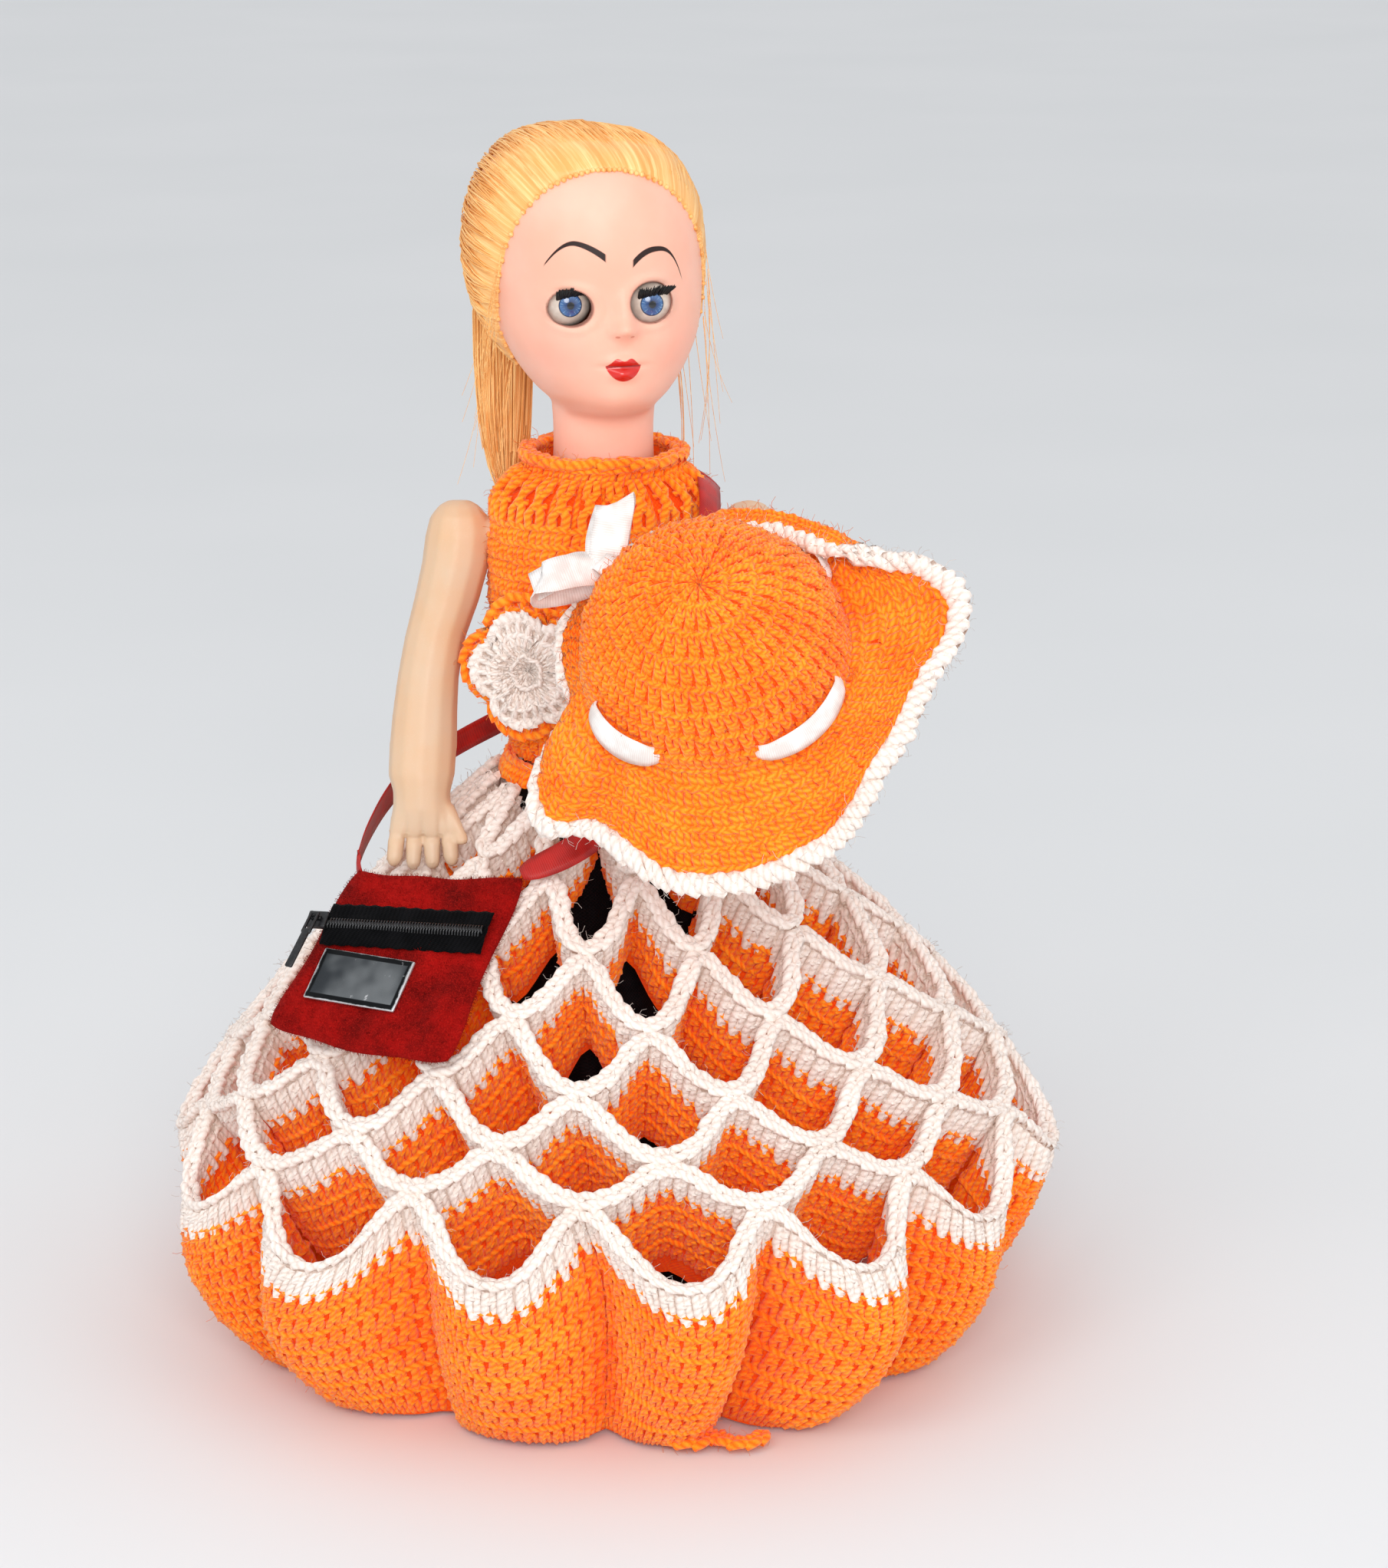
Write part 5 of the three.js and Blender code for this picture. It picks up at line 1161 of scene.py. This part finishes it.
skull = head_skin(0.0, False)
skull_tree = BVHTree.FromBMesh(skull)
skull.free()
bm = head_skin()
eye_openings(bm)
keep("head_skin", baked(bm), "head", face_paint(), "head_shell", place=HEAD)


# Sleeping eyes: a painted ball and a fringe of lashes
def eye_paint():
    f = Finish("eye", Coat_Weight=0.6, Coat_Roughness=0.05, Specular_IOR_Level=0.5)
    off, way_round, _ = f.axes(f.where("UV"))
    streaks = f.noise(1.0, 3.0, f.plane(off * 3.0, way_round * 46.0))
    white = f.mix(f.ease(f.noise(300, 2.0), 0.3, 0.8), rgb(196, 180, 166), rgb(220, 205, 192))
    blue = f.mix(f.ease(off, 0.1, 0.45), rgb(22, 46, 94), rgb(56, 100, 154))
    blue = f.mix(f.ease(streaks, 0.52, 0.68) * f.ease(off, 0.2, 0.4) * 0.7, blue, rgb(158, 188, 210))
    blue = f.mix(f.ease(off, 0.42, 0.48), blue, rgb(24, 38, 66))
    colour = f.mix(f.ease(off, 0.485, 0.51), blue, white)
    f.set(Base_Color=f.mix(f.ease(off, 0.17, 0.13), colour, rgb(12, 14, 20)), Roughness=0.1 + streaks * 0.1)
    return f


EYE = eye_paint()
EYE.slot = "eye_white"
LASHES = 110
for name, centre in EYES.items():
    place = HEAD @ Matrix.Translation(centre * MM)
    bm = bmesh.new()
    turn = turned(90, "X")
    bmesh.ops.create_uvsphere(bm, u_segments=48, v_segments=40, radius=EYE_RADIUS * MM, matrix=turn)
    uv = bm.loops.layers.uv.verify()
    for face in bm.faces:
        for loop in face.loops:
            co = loop.vert.co / (EYE_RADIUS * MM)
            loop[uv].uv = (math.acos(max(-1, min(1, -co.y))), math.atan2(co.z, co.x) / (2 * math.pi))
    nodes = (name + "_eyeball", name + "_iris")
    keep(name + "_eye_ball", baked(bm), name + "_eye", EYE, *nodes, place=place)
    bm = bmesh.new()
    for _ in range(LASHES):
        across = dice.uniform(-0.85, 1)
        lean = math.radians(21 + 7 * across + dice.uniform(0, 5))
        out = Vector((across * 0.84 + 0.08, -math.cos(lean), math.sin(lean))).normalized()
        aside = 0.12 + 0.2 * across + dice.uniform(-0.03, 0.03)
        tip = out + Vector((aside, -0.28, 0.34 + dice.uniform(-0.06, 0.06)))
        root = Matrix.Translation(out * 7.8 * MM) @ aimed(tip - out)
        length = (tip - out).length * 8 * MM
        middle = root @ Matrix.Translation((0, 0, length / 2))
        bmesh.ops.create_cone(
            bm, cap_ends=True, segments=5, radius1=0.4 * MM, radius2=0.1 * MM, depth=length, matrix=middle
        )
    keep(name + "_lash_fringe", baked(bm), name + "_eye", LASH, name + "_eyelash", place=place)


# Hair: rooted in plugs along the hairline, drawn back to the tie
TAIL = HEAD @ Matrix.Translation((-3.016 * MM, 0, 0)) @ turned(14, "Z")
TIE = Vector((0, 43.6, 78))
HAIRLINE = Vector((0, -27.5, 101))
BEHIND = Vector((0, math.cos(math.radians(26)), math.sin(math.radians(26))))
MIDDLE = Vector((-2.4, 0, 66))
PLUGS = 58
HAIRS_A_PLUG = 13
HAIRS = 1700
TAIL_HAIRS = 620
STRAY_HAIRS = 40
HAIRLINE_END = 112
tie_way = (HEAD.inverted() @ TAIL @ (TIE * MM) / MM - MIDDLE).normalized()
SWEEP = HEAD @ Matrix.Translation(MIDDLE * MM) @ aimed(tie_way)


def hair():
    f = Finish("hair_fibre", Specular_IOR_Level=0.5, Anisotropic=0.5)
    # The emission is painted light: a glow that lifts the strands' shaded sides.
    f.set(Emission_Color=rgb(250, 184, 104), Emission_Strength=HAIR_GLOW)
    x, y, z = f.axes(f.local(SWEEP))
    turn = y.math("ARCTAN2", x)
    streak = f.noise(1.0, 4.0, f.plane(turn * 34.0, z * 28.0), 0.7)
    lock = f.noise(1.0, 2.0, f.plane(turn * 7.0, z * 14.0))
    colour = f.mix(f.ease(lock, 0.3, 0.7), rgb(224, 150, 70), rgb(244, 184, 108))
    f.set(
        # Light streaks towards rgb(253, 214, 148): partly painted highlights along the strands, partly random
        # strand tone.
        Base_Color=f.mix(f.ease(streak, 0.4, 0.7), colour, rgb(253, 214, 148)),
        Roughness=0.34 + streak * 0.2,
        Normal=f.bump(streak, 0.2 * MM, 0.4),
    )
    return f


HAIR = hair()


def on_skull(way, lift):
    """The point over the skull in a direction from its middle, in millimetres."""
    hit = skull_tree.ray_cast((MIDDLE + way * 90) * MM, -way)[0]
    return hit / MM + way * lift


def puff(way, share):
    """How far the hair stands off at a share of the way back, more on the right side."""
    return (2.2 + 5.5 * max(0, -way.x)) * math.sin(math.pi * min(1, max(0, share))) ** 0.8


def swept(start, lift, wander):
    """A hair from a place on the skull back to the tie."""
    way = (start - MIDDLE).normalized()
    side = way.cross(tie_way).normalized() * wander
    path = []
    for k in range(12):
        share = k / 11
        to = way.slerp(tie_way, share)
        to = (to + side * math.sin(math.pi * share)).normalized()
        path.append(on_skull(to, lift * min(1, 0.15 + 2.5 * share) + puff(to, share) + 1.6 * share**4))
    return path


def strands(name, paths, thick, frame_of, body, *nodes):
    data = bpy.data.curves.new(name, "CURVE")
    data.dimensions = "3D"
    data.bevel_depth = thick * MM
    data.bevel_resolution = 0
    for path in paths:
        spline = data.splines.new("POLY")
        spline.points.add(len(path) - 1)
        for k, (point, place) in enumerate(zip(spline.points, path)):
            point.co = (*(frame_of @ (Vector(place) * MM)), 1)
            point.radius = 1.0 - 0.55 * k / len(path)
    return keep(name, data, body, HAIR, *nodes)


def hairline(angle):
    """The lowest point of the hair at an angle from the face's middle."""
    ways = np.linspace(36, 110, 150)
    points = head_points(ways, np.full(len(ways), angle))
    behind = (points - np.array(HAIRLINE)) @ np.array(BEHIND)
    return Vector(points[int(np.argmax(behind >= 0))])


roots = []
plugs = bmesh.new()
for k in range(PLUGS):
    plug = hairline(math.radians(-HAIRLINE_END + 2 * HAIRLINE_END * k / (PLUGS - 1)))
    bead = bmesh.ops.create_icosphere(plugs, subdivisions=1, radius=0.95 * MM)["verts"]
    bmesh.ops.translate(plugs, vec=(plug + (plug - MIDDLE).normalized() * 0.5) * MM, verts=bead)
    for _ in range(HAIRS_A_PLUG):
        start = plug + Vector([dice.gauss(0, 0.3) for _ in range(3)])
        roots.append(swept(start, dice.uniform(0.6, 2.0), dice.gauss(0, 0.05)))
while len(roots) < HAIRS:
    way = Vector([dice.gauss(0, 1) for _ in range(3)]).normalized()
    start = on_skull(way, 0)
    if (start - HAIRLINE).dot(BEHIND) > 1.5 and start.z > 40:
        roots.append(swept(start, dice.uniform(0.7, 2.4), dice.gauss(0, 0.06)))
strands("hair_strands", roots, 0.32, HEAD, "head")
keep("hair_plugs", baked(plugs), "head", HAIR, place=HEAD)

bm = head_skin(0.7, False)
for place, way in ((HAIRLINE, BEHIND), (Vector((0, 0, 37)), Vector((0, 0, 1)))):
    whole = [*bm.verts, *bm.edges, *bm.faces]
    bmesh.ops.bisect_plane(bm, geom=whole, plane_co=place * MM, plane_no=way, clear_inner=True)
for vert in bm.verts:
    way = (vert.co - MIDDLE * MM).normalized()
    back = (vert.co / MM - HAIRLINE).dot(BEHIND) / 54
    vert.co += way * (-1.2 if vert.is_boundary else 0.85 * puff(way, back)) * MM
keep("hair_base", baked(bm), "head", HAIR, "hair_cap", place=HEAD)

TAIL_KEYS = [
    (0, 41.5, 78, 4.6), (0, 48, 77, 5), (-1.8, 56, 69, 8.0), (-5.4, 58, 50.4, 10.4),
    (-8.1, 54, 17.3, 9.6), (-9, 51, -4.8, 7), (-9, 50, -14, 3.6),
]
tail_line = curve(TAIL_KEYS, 16)
tail_hairs = []
for _ in range(TAIL_HAIRS):
    angle = dice.uniform(0, 2 * math.pi)
    share = math.sqrt(dice.random())
    sway = dice.uniform(0.2, 1.4)
    phase = dice.uniform(0, 6.3)
    end = dice.randint(12, 16)
    hairs = []
    for i, (x, y, z, size) in enumerate(tail_line[:end]):
        swing = sway * math.sin(phase + 0.55 * i) * i / 10
        aside = x + size * share * math.cos(angle) + swing
        deep = y + size * share * math.sin(angle) + swing
        hairs.append((aside, deep, z))
    tail_hairs.append(hairs)
strands("ponytail_strands", tail_hairs, 0.38, TAIL, "head", "ponytail")

stray = []
for _ in range(STRAY_HAIRS):
    side = dice.choice((-1, 1))
    start = hairline(math.radians(side * dice.uniform(60, HAIRLINE_END)))
    fall = dice.uniform(30, 62)
    drift = dice.uniform(-6, 8)
    stray.append([
        (start.x + side * (2 + 6 * t) + drift * t * t, start.y + 6 * t + 8 * t * t, start.z - fall * t)
        for t in (i / 9 for i in range(10))
    ])
strands("stray_hairs", stray, 0.13, HEAD, "head")

bm = bmesh.new()
section = Matrix.Translation((7.5 * MM, 0, 0)) @ turned(90, "X")
profile = bmesh.ops.create_circle(bm, segments=12, radius=1.9 * MM, matrix=section)["verts"]
edges = {e for v in profile for e in v.link_edges}
whole_turn = {"cent": (0, 0, 0), "axis": (0, 0, 1), "angle": 2 * math.pi, "steps": 40, "use_merge": True}
bmesh.ops.spin(bm, geom=[*profile, *edges], **whole_turn)
bmesh.ops.recalc_face_normals(bm, faces=bm.faces)
BAND = weave("hair_band", rgb(70, 44, 20), rgb(120, 84, 44), 3200)
BAND_PLACE = TAIL @ Matrix.Translation(TIE * MM) @ turned(90, "X")
keep("hair_tie_band", baked(bm), "head", BAND, "hair_tie", place=BAND_PLACE)


# Bag: its own frame has X along the top, Z up the pouch and -Y out of its front
BAG = moved(-53.3, -50.5, 174.6) @ turned(-31, "Z") @ turned(-48, "X")
BAG_SLANT = math.atan2(8.6, 63)


def pouch():
    bm = bmesh.new()
    bmesh.ops.create_grid(bm, x_segments=70, y_segments=70, size=1)
    back = bmesh.ops.duplicate(bm, geom=[*bm.verts, *bm.edges, *bm.faces])["geom"]
    bmesh.ops.translate(bm, vec=(0, 0, 1), verts=verts_of(back))
    mesh = baked(bm)
    points = read(mesh)
    x, up, layer = points.T
    share = (1 - up) / 2
    half = (31.5 + 4.0 * share) * (1 - 0.04 * np.abs(up) ** 10)
    swell = np.sqrt(np.clip((1 - np.abs(x) ** 4) * (1 - np.abs(up) ** 4), 0, 1))
    crease = 0.7 * np.sin(2.6 * x * half / 8 + 3.0 * share) * swell * (0.3 + share)
    crease += 0.9 * np.sin(5 * share + 1.5 * x) * swell * np.abs(x) ** 2
    fold = 0.8 * np.exp(-(((x + 0.62 + 0.1 * share) / 0.12) ** 2)) * swell * share
    side = np.where(layer > 0.5, 1.0, -1.0)
    wide = x * half + 0.7 * np.sin(9 * share) * np.sign(x) * np.abs(x) ** 6
    rise = 4.3 * x * (1 - share) - 68 * share - 0.8 * np.cos(5 * x) * share**6
    rise += 3.0 * np.abs(x) ** 7 * share**8 - (1.5 * (1 - x**2) + 0.4 * np.sin(7 * x)) * (1 - share) ** 5
    deep = side * (3.3 * swell + 0.2) + np.where(side < 0, crease - fold, -crease)
    write(mesh, np.stack([wide, deep, rise], axis=-1) * MM)
    bm = opened(mesh)
    rims = [e for e in bm.edges if e.is_boundary]
    bmesh.ops.bridge_loops(bm, edges=rims)
    bmesh.ops.recalc_face_normals(bm, faces=bm.faces)
    return baked(bm)


mesh = pouch()
mesh.transform(BAG)
keep("bag_pile", pile(TUFT, mesh, 11000, 0.3, 0.5, 63), "bag", VELVET)
bag_pouch = keep("bag_pouch", mesh, "bag", VELVET, "bag_body")

ZIP = BAG @ moved(0.5, -4.3, -24) @ Matrix.Rotation(-BAG_SLANT, 4, "Y")


def tape():
    mesh = grid(60, 16)
    points = read(mesh)
    x, up, _ = points.T
    fray = 0.25 * np.sin(37 * x) * np.abs(up) ** 8
    lift = 0.5 * (1 - up**4) + 0.5 * np.exp(-((np.abs(up) - 0.25) / 0.1) ** 2)
    write(mesh, np.stack([30 * x, -lift + 0.3 * np.sin(3 * x), 7.75 * up + fray], axis=-1) * MM)
    return evaluated(mesh, ("SOLIDIFY", {"thickness": 0.5 * MM, "offset": 0.0}))


keep("zip_tape_cloth", tape(), "bag", ZIP_CLOTH, "zip_tape", place=ZIP)

TEETH = 54
TOOTH_STEP = 1.06
tooth = stitch(
    (0.36, 5, (-0.1, -1.9, 0.2), (0.1, -1.2, 1.1), (0.35, 0.3, 1.2), (0.4, 0.9, 0.4)),
    (0.36, 5, (0.5, 1.9, 0.2), (0.6, 1.2, 1.1), (0.85, -0.3, 1.2), (0.9, -0.9, 0.4)),
)
coil = evaluated(tooth, repeat(TEETH, (TOOTH_STEP * MM, 0, 0)))
COIL_PLACE = ZIP @ moved(-28.5, -0.7, 0) @ turned(90, "X")
keep("zip_coil_teeth", coil, "bag", COIL, "zip_coil", place=COIL_PLACE)


def block(size, place, round_by, frame_of):
    """A block with rounded edges, sizes and place in millimetres."""
    bm = bmesh.new()
    bmesh.ops.create_cube(bm, size=1)
    bmesh.ops.scale(bm, vec=Vector(size) * MM, verts=bm.verts)
    bmesh.ops.bevel(
        bm, geom=bm.edges[:], offset=round_by * MM, segments=3, profile=0.5, affect="EDGES", material=-1
    )
    bmesh.ops.translate(bm, vec=Vector(place) * MM, verts=bm.verts)
    mesh = baked(bm)
    mesh.transform(frame_of)
    return mesh


def badge_paint(frame_of):
    f = Finish("badge_metal", Metallic=0.85)
    x, y, z = f.axes(f.local(frame_of))
    scratch = f.noise(260, 4.0, rough=0.65)
    cloud = f.noise(70, 2.0)
    edge = f.ease((abs(x) / (17.5 * MM)).math("MAXIMUM", abs(z) / (9.5 * MM)) + scratch * 0.09, 0.99, 1.03)
    border = f.ease((abs(x) / (15.6 * MM)).math("MAXIMUM", abs(z) / (7.4 * MM)), 0.98, 1.02)
    face = f.mix(f.ease(cloud, 0.3, 0.7), rgb(58, 62, 66), rgb(120, 124, 126))
    face = f.mix(border, face, rgb(20, 22, 24))
    face = f.mix(f.ease(scratch, 0.66, 0.72), face, rgb(205, 206, 208))
    f.set(
        Base_Color=f.mix(edge, face, rgb(214, 216, 218)),
        Roughness=0.18 + scratch * 0.25,
        Normal=f.bump(border * -0.5 + scratch * 0.3, 0.2 * MM, 0.5),
    )
    return f


BADGE = BAG @ moved(-7, -4.6, -45.5) @ turned(-2, "Y")
badge = block((35, 1.2, 19), (0, 0, 0), 0.5, BADGE)
keep("badge_blank", badge, "bag", badge_paint(BADGE), "badge_plate")

# Slider and pull: size, place and rounding of their blocks
SLIDER = [
    ((7.5, 1.0, 6.0), (-32, -3.2, 0), 0.45), ((6.8, 1.0, 0.9), (-32, -2.4, 2.6), 0.35),
    ((6.8, 1.0, 0.9), (-32, -2.4, -2.6), 0.35), ((4.0, 0.9, 1.3), (-32, -4.5, 0), 0.35),
    ((0.9, 1.6, 1.3), (-30.4, -4.0, 0), 0.3), ((0.9, 1.6, 1.3), (-33.6, -4.0, 0), 0.3),
]
PULL_TAB = [
    ((2.8, 1.1, 15.0), (0, 0, -3.2), 0.5), ((1.0, 1.1, 8.0), (-1.3, 0, 6.5), 0.45),
    ((1.0, 1.1, 8.0), (1.3, 0, 6.5), 0.45), ((3.6, 1.1, 1.2), (0, 0, 10.3), 0.45),
]
slider = joined([block(*sizes, ZIP) for sizes in SLIDER])
keep("zip_slider_body", slider, "slider", BLACK_ENAMEL, "zip_slider")
pull_low, pull_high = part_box("zip_pull")
PULL = BAG @ Matrix.Translation(BAG.inverted() @ ((Vector(pull_low) + Vector(pull_high)) / 2))
pull = joined([block(*sizes, PULL) for sizes in PULL_TAB])
keep("zip_pull_tab", pull, "pull", BLACK_ENAMEL, "zip_pull")

bpy.context.view_layer.update()
